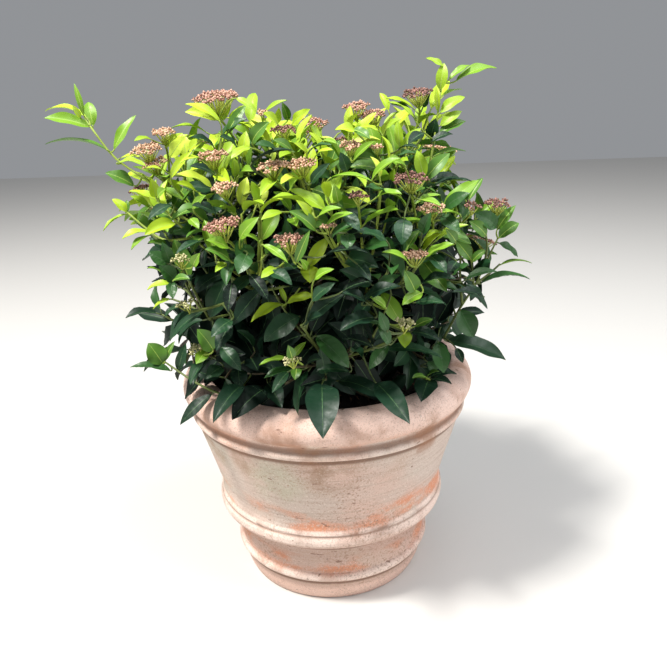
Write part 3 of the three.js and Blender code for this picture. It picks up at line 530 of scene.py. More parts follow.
CROWN_LEAVES_SEEN = [CrownLeaf(*row) for row in (
    # Round the heads at the upper left
    ((222, 121), (232, 97), 0.3, 0.3, "lime"),
    ((264, 114), (287, 100), 0.26, 0.6, "fresh"),
    ((288, 120), (282, 102), 0.4, 0.3, "mid"),
    ((278, 125), (263, 113), 0.5, 0.5, "lime"),
    ((278, 123), (279, 107), 0.36, 0.3, "pale"),
    ((252, 143), (269, 122), 0.5, 0.4, "mid"),
    ((222, 136), (247, 119), 0.36, 0.6, "deep"),
    ((237, 147), (220, 136), 0.55, 0.6, "dark"),
    ((250, 148), (231, 159), 0.42, 0.7, "fresh"),
    ((214, 147), (190, 137), 0.4, 0.6, "dark"),
    ((189, 150), (204, 140), 0.5, 0.4, "lime"),
    ((203, 159), (180, 163), 0.32, 0.8, "lime"),
    ((213, 174), (190, 166), 0.42, 0.6, "darkest"),
    ((251, 163), (293, 150), 0.27, 0.9, "darkest"),
    ((277, 152), (255, 145), 0.5, 0.6, "deep"),
    ((292, 152), (273, 140), 0.46, 0.5, "mid"),
    # Round the heads at the top
    ((292, 125), (310, 109), 0.42, 0.4, "lime"),
    ((358, 134), (335, 130), 0.46, 0.6, "lime"),
    ((352, 130), (370, 139), 0.46, 0.6, "mid"),
    ((380, 132), (360, 127), 0.36, 0.7, "lime"),
    ((386, 130), (401, 119), 0.34, 0.5, "fresh"),
    ((307, 156), (294, 143), 0.42, 0.5, "lime"),
    ((311, 149), (332, 145), 0.36, 0.8, "deep"),
    ((315, 157), (333, 150), 0.34, 0.7, "lime"),
    ((322, 141), (337, 144), 0.4, 0.7, "green"),
    ((354, 160), (375, 141), 0.3, 0.5, "green"),
    ((372, 180), (401, 158), 0.32, 0.6, "green"),
    ((330, 178), (372, 181), 0.24, 0.9, "green"),
    ((386, 192), (365, 187), 0.5, 0.7, "deep"),
    ((376, 198), (402, 194), 0.36, 0.7, "green"),
    ((311, 184), (330, 163), 0.32, 0.4, "dark"),
    ((347, 171), (340, 152), 0.5, 0.3, "dark"),
    ((338, 202), (334, 184), 0.42, 0.3, "green"),
    # Left shoulder
    ((152, 140), (134, 141), 0.35, 0.7, "fresh"),
    ((119, 159), (141, 157), 0.32, 0.8, "lime"),
    ((156, 197), (151, 178), 0.45, 0.3, "lime"),
    ((166, 172), (146, 168), 0.36, 0.8, "lime"),
    ((158, 197), (166, 189), 0.6, 0.4, "green"),
    ((171, 178), (192, 151), 0.24, 0.4, "lime"),
    ((165, 148), (183, 133), 0.32, 0.4, "lime"),
    ((170, 157), (186, 136), 0.46, 0.3, "pale"),
    ((207, 133), (171, 128), 0.2, 0.9, "fresh"),
    ((172, 205), (148, 220), 0.36, 0.6, "dark"),
    ((217, 214), (192, 205), 0.5, 0.6, "darkest"),
    ((193, 209), (206, 195), 0.34, 0.4, "green"),
    ((190, 219), (199, 229), 0.5, 0.4, "green"),
    # Upper right, below the leading shoot
    ((414, 109), (386, 98), 0.32, 0.7, "lime"),
    ((413, 114), (391, 104), 0.28, 0.6, "mid"),
    ((431, 138), (436, 118), 0.56, 0.3, "dark"),
    ((424, 133), (408, 144), 0.5, 0.6, "darkest"),
    ((398, 150), (418, 148), 0.34, 0.8, "darkest"),
    ((393, 159), (416, 153), 0.28, 0.8, "deep"),
    ((423, 107), (430, 93), 0.42, 0.3, "dark"),
    ((406, 169), (385, 160), 0.45, 0.6, "green"),
    ((431, 187), (472, 181), 0.24, 0.9, "darkest"),
    # Left of the middle
    ((229, 248), (206, 240), 0.5, 0.5, "green"),
    ((231, 262), (205, 249), 0.45, 0.6, "mid"),
    ((226, 264), (215, 272), 0.4, 0.5, "fresh"),
    ((247, 255), (238, 274), 0.7, 0.3, "deep"),
    ((240, 239), (259, 217), 0.4, 0.4, "green"),
    ((282, 212), (261, 220), 0.4, 0.6, "fresh"),
    ((201, 241), (176, 254), 0.3, 0.8, "dark"),
    ((260, 244), (243, 235), 0.32, 0.6, "green"),
    ((263, 245), (288, 263), 0.27, 0.6, "green"),
    ((276, 268), (261, 278), 0.46, 0.5, "fresh"),
    ((269, 272), (292, 285), 0.44, 0.6, "dark"),
    ((250, 275), (268, 300), 0.4, 0.5, "blackish"),
    ((232, 282), (228, 312), 0.4, 0.4, "blackish"),
    # Right of the middle
    ((311, 217), (296, 200), 0.32, 0.4, "lime"),
    ((316, 231), (289, 211), 0.42, 0.5, "mid"),
    ((296, 263), (310, 230), 0.26, 0.3, "mid"),
    ((318, 217), (341, 208), 0.32, 0.6, "green"),
    ((325, 226), (353, 213), 0.32, 0.7, "green"),
    ((344, 213), (360, 231), 0.46, 0.4, "dark"),
    ((332, 238), (352, 225), 0.42, 0.6, "deep"),
    ((348, 234), (348, 250), 0.7, 0.4, "deep"),
    ((387, 241), (357, 231), 0.5, 0.7, "dark"),
    ((325, 256), (368, 253), 0.3, 0.8, "blackish"),
    ((314, 280), (334, 269), 0.38, 0.5, "green"),
    ((312, 301), (335, 283), 0.42, 0.5, "dark"),
    ((307, 269), (300, 259), 0.4, 0.3, "green"),
    ((366, 302), (342, 293), 0.46, 0.6, "darkest"),
    ((342, 292), (373, 281), 0.44, 0.7, "blackish"),
    ((362, 303), (401, 286), 0.4, 0.7, "darkest"),
    ((386, 308), (370, 297), 0.42, 0.5, "green"),
    ((357, 264), (371, 281), 0.4, 0.5, "darkest"),
    ((408, 263), (382, 252), 0.36, 0.7, "green"),
    # Low on the left
    ((232, 320), (211, 337), 0.5, 0.5, "dark"),
    ((231, 323), (216, 351), 0.44, 0.4, "darkest"),
    ((213, 350), (197, 329), 0.62, 0.3, "mid"),
    ((207, 352), (196, 364), 0.6, 0.4, "green"),
    ((221, 347), (241, 371), 0.46, 0.4, "dark"),
    ((223, 367), (206, 379), 0.6, 0.5, "dark"),
    ((288, 372), (272, 393), 0.36, 0.4, "dark"),
    ((292, 358), (288, 345), 0.5, 0.3, "mid"),
    ((170, 263), (162, 242), 0.46, 0.3, "deep"),
    ((174, 280), (159, 266), 0.66, 0.3, "deep"),
    ((161, 272), (147, 268), 0.32, 0.8, "green"),
    ((173, 281), (190, 279), 0.5, 0.6, "mid"),
    ((171, 282), (173, 299), 0.5, 0.3, "deep"),
    ((193, 266), (200, 253), 0.5, 0.3, "green"),
    # Low on the right
    ((375, 318), (340, 331), 0.5, 0.7, "darkest"),
    ((388, 330), (368, 322), 0.32, 0.7, "deep"),
    ((387, 331), (379, 311), 0.4, 0.3, "deep"),
    ((389, 344), (377, 325), 0.4, 0.4, "deep"),
    ((411, 332), (440, 341), 0.48, 0.7, "darkest"),
    ((373, 347), (342, 338), 0.44, 0.7, "blackish"),
    ((427, 378), (412, 378), 0.42, 0.8, "mid"),
    ((426, 378), (439, 371), 0.42, 0.8, "mid"),
    # Right side
    ((420, 200), (441, 206), 0.36, 0.8, "green"),
    ((404, 219), (402, 245), 0.6, 0.3, "dark"),
    ((425, 258), (454, 244), 0.38, 0.7, "green"),
    ((430, 256), (447, 273), 0.5, 0.5, "dark"),
    ((415, 291), (404, 270), 0.56, 0.3, "mid"),
    ((422, 293), (402, 305), 0.46, 0.5, "green"),
    ((415, 303), (444, 303), 0.42, 0.7, "dark"),
    ((421, 284), (456, 279), 0.34, 0.8, "darkest"),
    ((461, 215), (430, 215), 0.26, 0.9, "green"),
    ((441, 216), (460, 232), 0.5, 0.4, "deep"),
    ((445, 209), (470, 193), 0.46, 0.4, "deep"),
    ((422, 233), (431, 212), 0.46, 0.3, "deep"),
    ((456, 242), (446, 229), 0.5, 0.3, "mid"),
    ((457, 262), (449, 273), 0.6, 0.4, "darkest"),
    ((453, 275), (469, 264), 0.44, 0.6, "deep"),
    ((484, 297), (452, 292), 0.36, 0.8, "darkest"),
)]
CROWN_LEAF_DEPTH = 0.97  # share of the crown's reach
CROWN_LEAF_TILT = 7  # how much nearer its tip is, and further its base, than its middle
SEEN_FORM = {"bend": (0.3, 0.6), "fold": (0.14, 0.26), "twist": 0.3, "wave": 0.8, "facing": 1.05}

# Leaves
LEAF_LENGTH = 64
YOUNG_LEAF_SHARE = 0.61  # of the length, high in the crown
LEAF_VARIATION = 0.34
LEAF_WIDTH = {"old": (0.42, 0.53), "young": (0.33, 0.44)}
LEAF_OUTLINE = (0.88, 1.04)  # how the blade narrows to its base and to its tip
LEAF_THICKNESS = 0.6
LEAF_BEND = (0.2, 1.15)  # radians from its base to its tip
LEAF_FOLD = {"drawn": (0.12, 0.3), "young": 0.3, "power": 1.3}
LEAF_TWIST = 0.5
LEAF_WAVE = {"depth": (0.04, 0.24), "count": 1.7, "shift": 2.2}  # of the margins, in half widths
LEAF_ROLL = 34  # degrees at most about its midrib
LEAF_RISE = 0.32  # of young leaves
PLAIN_LEAF = (9, 4)  # rows and strips
VEINED_LEAF = (26, 8)
VEINS = {"pairs": 6, "lean": 0.4, "old": 0.016, "young": 0.004}  # with their depth at each age
PETIOLE = (7, 1.0, 0.8)  # length and radii
FIRST_PAIR = (9, 4)  # least distance from the tip, and range
PAIR_PITCH = (14, 23)
PAIRS = 10
YOUNG_PAIRS = 2.5
BARE_SHARE = 0.06
SMALL_HEIGHTS = (400, 540)  # between which leaves get smaller
LEAF_SEED = (31, 17)  # a shoot's leaves draw from its seed times the one plus the other
LEAF_OWNER = 1000  # first number of grown leaves, above those of the seen ones
FIRST_LEAF_ANGLE = 34
LEAF_ANGLE_STEP = 13
LEAF_ANGLE_VARIATION = 16
LEAF_DROOP = 0.1
LEAF_FACING = {"along": 0.7, "up": 0.6, "back": 0.15}
LEAF_TRIES = (
    (0, 0, 1), (0, 0.35, 1), (30, 0.15, 1), (-30, 0.15, 1), (62, 0.2, 0.9), (-62, 0.2, 0.9),
    (0, -0.35, 0.9), (0, 0.2, 0.72), (45, 0.5, 0.72), (-45, 0.5, 0.72), (0, 0.7, 0.6),
)  # turn in degrees, lift and size
CELL = 2.3  # of the grid that keeps leaves apart
ROOM_FLOOR = 215
ROOM_MARGIN = 30
LEAF_PROUD = 4  # a leaf may stand this far out of the solids' box
TWIG_STEP = 1.2  # between the places of a twig that take up room
IN_VIEW = (3, 60, CELL * 1.5)  # nothing grows this far in front of what the photo shows
RIB_SECTIONS = 8
RIB_SINK = 0.12  # below the leaf's face
RIB = {"start": 0.03, "reach": 0.93, "half": (0.3, 0.4), "rise": (0.16, 0.24), "narrowest": 1.2}
SIDE_VEIN = {
    "start": 0.03, "reach": 0.86, "sections": 5, "half": 0.42, "taper": 0.6, "rise": 0.14,
    "first": 0.75,
}

# Leaf shades, from the darkest to the palest: colour, roughness and strength of the gloss
# The dark shades are old leaves' colour deepened by painted shade, the pale ones young leaves'
# colour lifted by painted light
LEAF_SHADES = {
    "blackish": ((10, 27, 19), 0.48, 0.2),
    "darkest": ((20, 47, 31), 0.44, 0.3),
    "dark": ((30, 65, 38), 0.42, 0.35),
    "deep": ((46, 88, 38), 0.42, 0.4),
    "mid": ((80, 123, 40), 0.42, 0.45),
    "green": ((114, 156, 38), 0.42, 0.42),
    "fresh": ((146, 180, 40), 0.43, 0.4),
    "lime": ((168, 197, 42), 0.44, 0.38),
    "pale": ((186, 208, 66), 0.45, 0.38),
}
RIB_COLOURS = {"old": (66, 100, 58), "young": (160, 186, 84)}
PETIOLE_COLOURS = {"old": (78, 94, 44), "young": (134, 156, 58)}
TWIG_COLOURS = {"lime": (138, 158, 56), "olive": (92, 106, 46), "brown": (72, 64, 42)}
FLUSH = (0.5, 0.96)  # how bright the young leaves of a shoot are
FLUSH_HEIGHTS = (380, 560)
LOW_FLUSH = 0.3  # share of it that the lowest shoots have
EARLY_FLUSH = {"chance": 0.1, "value": 0.9}  # shoots that are bright at any height
SHADE_NAMES = list(LEAF_SHADES)
OLD_SHADES = SHADE_NAMES[:4]

# How pale a leaf is: between heights and between shares of the crown's reach, as painted light and
# shade, and pair by pair
PAINTED_LIGHT_HEIGHTS = (360, 580)
PAINTED_LIGHT_SHARES = (0.6, 0.93)
PALE_PAIRS = (1.0, 0.72, 0.3, 0.08, 0.0)
PALE_WEIGHTS = {"height": 0.3, "outer": 0.1, "young": 0.6, "inner_young": 0.25, "chance": 0.26}

# Leathery grain of all plant parts: scale, strength, depth in metres and range of the roughness
PLANT_GRAIN = (420, 0.22)
PLANT_GRAIN_DEPTH = 0.0004
PLANT_ROUGH_RANGE = (0.06, 0.08)
GRAIN_LEVELS = (0.3, 0.7)  # of the noise, over which the roughness changes

# Sides and steps of limbs, roughness, and the angle beyond which an edge is sharp
LIMB_MESH = {"bough": (14, 40), "stem": (8, 10), "twig": (6, 10), "stalk": (5, 8)}
TWIG_END = 1.5  # beyond the last thing that grows on it
ROUGHNESS = {
    "clay": 0.88, "compost": 0.95, "bark_slip": 0.9, "bark": 0.86, "rib": 0.47, "twig": 0.55,
    "petiole": 0.5, "bud_stalk": 0.5, "bud": 0.6, "floor": 0.9,
}
SHARP = {"pot": 50, "bark": 60, "leaf": 60, "rib": 70}
CLAY_GLOSS = 0.25

# Bark: its ground, then cracks and lichen as blotches and colour
BARK_GROUND = (112, 90, 68)
BARK_BLOTCHES = (
    (60, 0.42, 0.62, 1, (2.4, 2.4, 0.5), 5, (70, 54, 42)),
    (40, 0.6, 0.72, 0.5, None, 5, (128, 126, 104)),
)
BARK_BUMP = (300, 0.5, 0.001)

# Floor and studio light, in metres: azimuth, elevation, distance, size, watts and colour
FLOOR_HALF = 6.0
FLOOR_COLOUR = (0.62, 0.61, 0.59, 1)
STUDIO_COLOUR = (0.92, 0.95, 1.0, 1)
STUDIO_STRENGTH = 0.31
LIGHT_TARGET = (0, 0, 0.38)
LIGHTS = {
    "key": (214, 62, 3.6, 0.6, 225, (1.0, 0.97, 0.92)),
    "top": (330, 68, 3.0, 1.6, 52, (0.96, 0.98, 1.0)),
    "right": (342, 20, 2.8, 1.8, 31, (0.98, 0.98, 1.0)),
    "left": (195, 20, 2.8, 1.6, 10, (1.0, 0.98, 0.96)),
}


def unit(v):
    return v / np.linalg.norm(v)


def smooth(x, low, high):
    """0 below low, 1 above high, and smooth between them."""
    t = np.clip((x - low) / (high - low), 0, 1)
    return t * t * (3 - 2 * t)


def linear(display):
    """A display colour, 0 to 255, as the linear colour that shaders take."""
    c = np.array(display, float) / 255
    return tuple(np.where(c <= 0.04045, c / 12.92, ((c + 0.055) / 1.055) ** 2.4)) + (1.0,)


def seeded_random(seed):
    """Numbers from 0 to 1 in an order that the seed fixes, as the solids' rule draws them."""
    state = seed % 2**32

    def draw():
        nonlocal state
        state = (state * 1664525 + 1013904223) % 2**32
        return state / 2**32

    for _ in range(4):
        draw()
    return draw


def between(low_high, share):
    return low_high[0] + (low_high[1] - low_high[0]) * share


def drawn(least_and_range, random):
    """The least value and a random part of the range."""
    return least_and_range[0] + least_and_range[1] * random()


def circle(radius, turns, height):
    heights = np.full(len(turns), height)
    return np.column_stack([np.cos(turns) * radius, np.sin(turns) * radius, heights])


def radial(axis, turn):
    """The way straight out from an axis, this far round it."""
    side = unit(np.cross(UP, axis))
    over = np.cross(axis, side)
    return side * math.cos(turn) + over * math.sin(turn)


def ring_faces(a, b, sides, inward=False):
    """Faces between two rings of points, which start at a and at b."""
    faces = []
    for j in range(sides):
        k = (j + 1) % sides
        faces.append((a + j, b + j, b + k, a + k) if inward else (a + j, a + k, b + k, b + j))
    return faces


class Curve:
    """A line of points; places on it are shares of its length."""

    NEARBY = 0.03  # share of its length over which its way is measured

    def __init__(self, points):
        self.points = np.asarray(points, float)
        self.end = self.points[-1]
        gaps = np.linalg.norm(np.diff(self.points, axis=0), axis=1)
        self.lengths = np.concatenate([[0], np.cumsum(gaps)])
        self.length = self.lengths[-1]

    @classmethod
    def bezier(cls, start, pull, end, steps=32):
        t = np.linspace(0, 1, steps + 1)[:, None]
        return cls((1 - t) ** 2 * start + 2 * t * (1 - t) * pull + t**2 * end)

    @classmethod
    def through(cls, places, steps=10):
        """A smooth line through places."""
        p = np.vstack([2 * places[0] - places[1], places, 2 * places[-1] - places[-2]])
        points = [p[1]]
        for i in range(1, len(p) - 2):
            for t in np.linspace(0, 1, steps + 1)[1:]:
                a = 2 * p[i] + (p[i + 1] - p[i - 1]) * t
                b = (2 * p[i - 1] - 5 * p[i] + 4 * p[i + 1] - p[i + 2]) * t**2
                c = (3 * p[i] - p[i - 1] - 3 * p[i + 1] + p[i + 2]) * t**3
                points.append((a + b + c) / 2)
        return cls(points)

    def at(self, share):
        where = share * self.length
        return np.array([np.interp(where, self.lengths, self.points[:, i]) for i in range(3)])

    def along(self, share):
        return unit(self.at(min(share + self.NEARBY, 1)) - self.at(max(share - self.NEARBY, 0)))


class Heap:
    """Many small closed shapes that become one mesh."""

    def __init__(self):
        self.points = []
        self.faces = []
        self.count = 0

    def add(self, points, faces):
        self.points.append(points)
        self.faces += [tuple(i + self.count for i in face) for face in faces]
        self.count += len(points)


# Growth rule


def heading(azimuth, elevation):
    turn, rise = math.radians(azimuth), math.radians(elevation)
    flat = math.cos(rise)
    return np.array([math.cos(turn) * flat, math.sin(turn) * flat, math.sin(rise)])


def crown_reach(direction):
    """How far the crown's leaves reach from its centre in a direction."""
    width = CROWN_LEFT if direction[0] < 0 else CROWN_RIGHT
    height = CROWN_HEIGHT if direction[2] > 0 else CROWN_UNDER
    open_share = smooth(direction[2], CROWN_TUCK["from"], CROWN_TUCK["to"])
    tuck = 1 - CROWN_TUCK["share"] * (1 - open_share)
    across = math.hypot(direction[0] / width, direction[1] / CROWN_DEPTH) / tuck
    upward = abs(direction[2]) / height
    return (across**CROWN_BOXINESS + upward**CROWN_BOXINESS) ** (-1 / CROWN_BOXINESS)


def crown_share(place):
    """0 at the crown's centre and 1 at its outline."""
    offset = place - CROWN_CENTRE
    distance = max(np.linalg.norm(offset), 1e-6)
    return distance / crown_reach(offset / distance)


def trunk_axis(height):
    share = (height - TRUNK_BASE) / (TRUNK_TOP - TRUNK_BASE)
    return np.array([TRUNK_LEAN[0] * share * share, TRUNK_LEAN[1] * share, height])


@dataclass
class Mass:
    name: str
    index: int
    tier: dict
    direction: np.ndarray
    tip: np.ndarray
    bough_pull: np.ndarray
    bough: Curve
    stem_end: np.ndarray


def plan_masses():
    masses = []
    for tier in TIERS:
        for i in range(tier["count"]):
            azimuth = tier["first"] + 360 / tier["count"] * i
            direction = heading(azimuth, tier["elevation"])
            tip = CROWN_CENTRE + direction * (crown_reach(direction) - TIP_MARGIN)
            if i in tier["leaders"]:
                tip = np.array(tier["leaders"][i], float)
            towards = tip - CROWN_CENTRE
            bough_end = CROWN_CENTRE + towards * BOUGH_REACH
            outward = heading(azimuth, 0)
            start = trunk_axis(tier["start"]) + outward * tier["offset"]
            pull = start + outward * np.linalg.norm(bough_end - start) * BOUGH_PULL["outward"]
            pull = pull + (bough_end - pull) * BOUGH_PULL["towards"]
            masses.append(Mass(
                name=f"{tier['name']}_{i + 1}",
                index=len(masses),
                tier=tier,
                direction=direction,
                tip=tip,
                bough_pull=pull,
                bough=Curve.bezier(start, pull, bough_end),
                stem_end=CROWN_CENTRE + towards * STEM_REACH,
            ))
    return masses


def stem_curve(mass):
    end = mass.bough.end
    along = unit(end - mass.bough_pull)
    start = end + along * CLEARANCE
    pull = start + along * np.linalg.norm(mass.stem_end - start) * STEM_PULL
    return Curve.bezier(start, pull, mass.stem_end)


def leading_curve(mass, stem):
    along = stem.along(1)
    back = mass.stem_end - along * SHOOT_RADIUS[0]
    pull = mass.stem_end + along * np.linalg.norm(mass.tip - back) * LEADER_PULL
    return Curve.bezier(back, pull, mass.tip)


def sag_curve(start, tip, sag):
    pull = (start + tip) / 2
    pull[2] -= np.linalg.norm(tip - start) * sag
    return Curve.bezier(start, pull, tip)


def side_curve(mass, stem, k):
    """One of the main shoots, which spread like seeds on a flower head, the last ones widest."""
    side = unit(np.cross(UP, mass.direction))
    over = np.cross(mass.direction, side)
    opening = math.radians(mass.tier["spread"]) * math.sqrt(k / (mass.tier["shoots"] - 1))
    turn = k * GOLDEN_ANGLE + mass.index
    direction = mass.direction * math.cos(opening)
    direction = direction + side * math.sin(opening) * math.cos(turn)
    direction = direction + over * math.sin(opening) * math.sin(turn)
    direction[2] = max(direction[2], LOWEST_SHOOT)
    direction = unit(direction)
    inner = INNER_REACH if k % INNER_EVERY == INNER_EVERY - 1 else 1
    tip = CROWN_CENTRE + direction * (crown_reach(direction) - TIP_MARGIN) * inner
    share = SHOOT_STARTS["last"] + SHOOT_STARTS["range"] * (1 - k / mass.tier["shoots"])
    return sag_curve(stem.at(share), tip, SHOOT_SAG)


@dataclass
class Shoot:
    curve: Curve
    radii: tuple
    seed: int
    leafy: bool = True
    head_width: float = 0
    tint: str = ""
    parent: object = None
    fork: float = 0  # where it leaves its parent
    used: float = 0  # how far along it anything grows


def core_share(place):
    """Up to 1 where the crown is full of leaves; beyond it only the main shoots stand out."""
    reach = between((CORE["low"], CORE["high"]), smooth(place[2], CORE["from"], CORE["to"]))
    width = CROWN_LEFT if place[0] < 0 else CROWN_RIGHT
    if place[1] < 0:
        reach += CORE["front"]
    return max(math.hypot(place[0] / width, place[1] / CROWN_DEPTH) / reach, crown_share(place))


def sight_line(pixel):
    """The camera's line of sight through a pixel of the photo."""
    pitch, roll = math.radians(CAMERA_PITCH), math.radians(CAMERA_ROLL)
    right = pixel[0] - IMAGE_PIXELS / 2
    up = IMAGE_PIXELS / 2 - pixel[1]
    u = (right * math.cos(roll) + up * math.sin(roll)) / FOCAL_PIXELS
    v = (up * math.cos(roll) - right * math.sin(roll)) / FOCAL_PIXELS
    return unit(np.array([
        u,
        math.cos(pitch) + v * math.sin(pitch),
        v * math.cos(pitch) - math.sin(pitch),
    ]))


def pixels_of(places):
    """The columns and rows where the photo shows these places."""
    pitch, roll = math.radians(CAMERA_PITCH), math.radians(CAMERA_ROLL)
    away = places - CAMERA_PLACE
    depth = away[:, 1] * math.cos(pitch) - away[:, 2] * math.sin(pitch)
    u = away[:, 0] / depth
    v = (away[:, 1] * math.sin(pitch) + away[:, 2] * math.cos(pitch)) / depth
    right = FOCAL_PIXELS * (u * math.cos(roll) - v * math.sin(roll))
    up = FOCAL_PIXELS * (v * math.cos(roll) + u * math.sin(roll))
    return IMAGE_PIXELS / 2 + right, IMAGE_PIXELS / 2 - up


def in_dip(places):
    """Whether any of these places is in a dip of the crown's skyline."""
    x, y = pixels_of(places)
    return any(((x > left) & (x < right) & (y < floor)).any() for left, right, floor in SKY_DIPS)


def seen_at(pixel, near):
    """The place that a pixel shows, this far in front of the pot's middle."""
    direction = sight_line(pixel)
    return CAMERA_PLACE + direction * (-near - CAMERA_PLACE[1]) / direction[1]


def distance_to_crown(pixel, depth):
    """How far the line of sight goes until it is this deep in the crown, or nearest to it."""
    direction = sight_line(pixel)
    distances = np.arange(*SIGHT_STEPS)
    shares = np.array([crown_share(CAMERA_PLACE + direction * d) for d in distances])
    inside = np.flatnonzero(shares < depth)
    return distances[inside[0] if len(inside) else shares.argmin()]


def shoot_to(pixel, stalk, stems, seed):
    """A shoot from the best of the stems to the place in the crown that a pixel shows."""
    distance = distance_to_crown(pixel, HEAD_DEPTH)
    tip = CAMERA_PLACE + sight_line(pixel) * distance
    pull = CAMERA_PLACE + sight_line(stalk) * (distance + STALK_DEPTH)
    places = np.vstack([stem.points for stem in stems])
    start = smooth_start(places, pull, unit(tip - pull), STEM_BEND_COST)
    return Shoot(Curve.bezier(start, pull, tip), SHOOT_RADIUS, seed)


def smooth_start(places, end, way, bend_cost):
    """The place from which a stem that ends this way has the least length and bend."""
    towards = end - places
    reach = np.maximum(np.linalg.norm(towards, axis=1), 1e-6)
    turn = 1 - towards @ way / reach
    return places[(reach * (1 + bend_cost * turn)).argmin()]


def seen_shoots(stems):
    """Shoots for the heads and young tips that the photo shows, and the stems that stand clear."""
    shoots = []
    for i, head in enumerate(HEADS_SEEN):
        shoot = shoot_to(head.pixel, head.stalk, stems, SEEN_SEEDS["head"] + i)
        distance = np.linalg.norm(shoot.curve.end - CAMERA_PLACE)
        shoot.head_width = head.width * distance / FOCAL_PIXELS
        shoot.tint = head.tint
        lowered = np.linspace(0, 1, len(shoot.curve.points))[:, None] ** HEAD_BOW * UP
        shoot.curve = Curve(shoot.curve.points - lowered * HEAD_RISE * shoot.head_width / 2)
        shoots.append(shoot)
    for i, (pixel, stalk) in enumerate(TIPS_SEEN):
        shoots.append(shoot_to(pixel, stalk, stems, SEEN_SEEDS["tip"] + i))
    for i, row in enumerate(STEMS_SEEN):
        curve = Curve.through(np.array([seen_at(pixel, near) for pixel, near in zip(*row)]))
        shoots.append(Shoot(curve, SPRIG_RADIUS, SEEN_SEEDS["stem"] + i, leafy=False))
    return shoots


def main_shoots(masses, stems, taken):
    """The shoots that the solids have too, but for those whose tip would meet one that is there."""
    shoots = []
    for mass in masses:
        stem = stems[mass.index]
        for k in range(mass.tier["shoots"]):
            seed = mass.index * SEED["mass"] + k * SEED["shoot"] + SEED["first"]
            random = seeded_random(seed)
            curve = leading_curve(mass, stem) if k == 0 else side_curve(mass, stem, k)
            wants_head = random() < mass.tier["bud_share"]
            if crowded(curve.end, taken):
                continue
            taken.append(curve.end)
            shoot = Shoot(curve, SHOOT_RADIUS, seed)
            give_head(shoot, wants_head and k > 0, random)
            shoots.append(shoot)
    return shoots


def give_head(shoot, wanted, random):
    """A head of buds at a tip on the top, sides or back; the photo gives those in front."""
    tip = shoot.curve.end
    behind = HEAD_BEHIND["high" if tip[2] > HEAD_BEHIND["from"] else "low"]
    if wanted and tip[1] > behind and tip[2] > LOWEST_HEAD and crown_share(tip) > HEAD_EDGE:
        shoot.head_width = between(HEAD_WIDTH, random())
        shoot.tint = GROWN_TINTS[int(random() * len(GROWN_TINTS))]


def thin_heads(seen, grown):
    """A grown head too near to another one, or in a dip of the skyline, is left out."""
    kept = [shoot.curve.end for shoot in seen if shoot.tint]
    for shoot in grown:
        tip = shoot.curve.end
        near = any(np.linalg.norm(tip - other) < HEAD_SPACING for other in kept)
        if near or in_dip(tip + HEAD_SIDES):
            shoot.tint = ""
        elif shoot.tint:
            kept.append(tip)


def crowded(tip, others):
    """Whether another shoot ends too near to this tip."""
    spacing = between(TIP_SPACING, smooth(tip[2], *TIP_HEIGHTS))
    return any(np.linalg.norm(tip - other) < spacing for other in others)


def too_far_out(tip, number):
    """Whether a twig would leave the crown, as only some of those at the back may."""
    if number % STRAYS["every"] == 0 and tip[1] > STRAYS["behind"] and tip[2] < STRAYS["below"]:
        return crown_share(tip) > STRAYS["reach"]
    return core_share(tip) > CROWN_EDGE - TWIG_MARGIN


def finer_twigs(parents, order, taken):
    """Twigs that leave the shoots and turn up towards the light."""
    twigs = []
    for i, parent in enumerate(parents):
        random = seeded_random(order["seed"] + i)
        roll = random() * 2 * math.pi
        for n in range(order["count"]):
            share = between(order["starts"], (n + random() * TWIG_RULE["jitter"]) / order["count"])
            start = parent.curve.at(share)
            along = parent.curve.along(share)
            out = radial(along, roll + n * GOLDEN_ANGLE)
            opening = math.radians(order["opening"] + TWIG_RULE["opening"] * (random() - 0.5))
            leaving = unit(along * math.cos(opening) + out * math.sin(opening))
            length = between(order["length"], random())
            wants_head = random() < HEAD_CHANCE
            tip = start + unit(leaving + UP * order["lift"]) * length
            pull = start + leaving * length * TWIG_RULE["pull"]
            if too_far_out(tip, i + n) or crowded(tip, taken):
                continue
            if inside_pot(np.array([tip, (tip + start) / 2]), POT_GAP["twig"]).any():
                continue
            taken.append(tip)
            seed = order["seed"] + i * TWIG_RULE["seed"] + n
            curve = Curve.bezier(start, pull, tip)
            twig = Shoot(curve, TWIG_RADIUS, seed, parent=parent, fork=share)
            give_head(twig, wants_head, random)
            twigs.append(twig)
    return twigs


def inside_pot(points, gap):
    """Whether points lie in the pot or its compost, or nearer to them than gap."""
    r = np.hypot(points[:, 0], points[:, 1])
    z = points[:, 2]
    crest = RIM_RADIUS - ROLL["over_bulge"]
    over = ((r - RIM_RADIUS + ROLL["over_bulge"]) / (ROLL["over_bulge"] + gap)) ** 2
    over = over + ((z - ROLL["middle"]) / (ROLL["over"] + gap)) ** 2
    in_roll = (over < 1) & (z >= ROLL["middle"])
    in_rim = (r > LIP["radius"] - gap) & (r < crest) & (z < RIM_TOP + gap) & (z > SOIL_TOP)
    in_wall = (r < RIM_RADIUS + gap) & (z < ROLL["middle"]) & (z > NECK[0][1])
    in_body = (r < BAND["radius"] + gap) & (z <= NECK[0][1])
    in_soil = (r < LIP["radius"]) & (z < SOIL_TOP + gap)
    return in_roll | in_rim | in_wall | in_body | in_soil


# Leaves


@dataclass
class Leaf:
    root: np.ndarray
    direction: np.ndarray
    facing: np.ndarray
    size: float
    width: float
    bend: float
    fold: float
    twist: float
    wave: float
    owner: int
    shade: str = ""
    grid: tuple = PLAIN_LEAF


def leaf_half_width(u):
    low, high = LEAF_OUTLINE
    widest = low / (low + high)
    return u**low * (1 - u) ** high / (widest**low * (1 - widest) ** high)


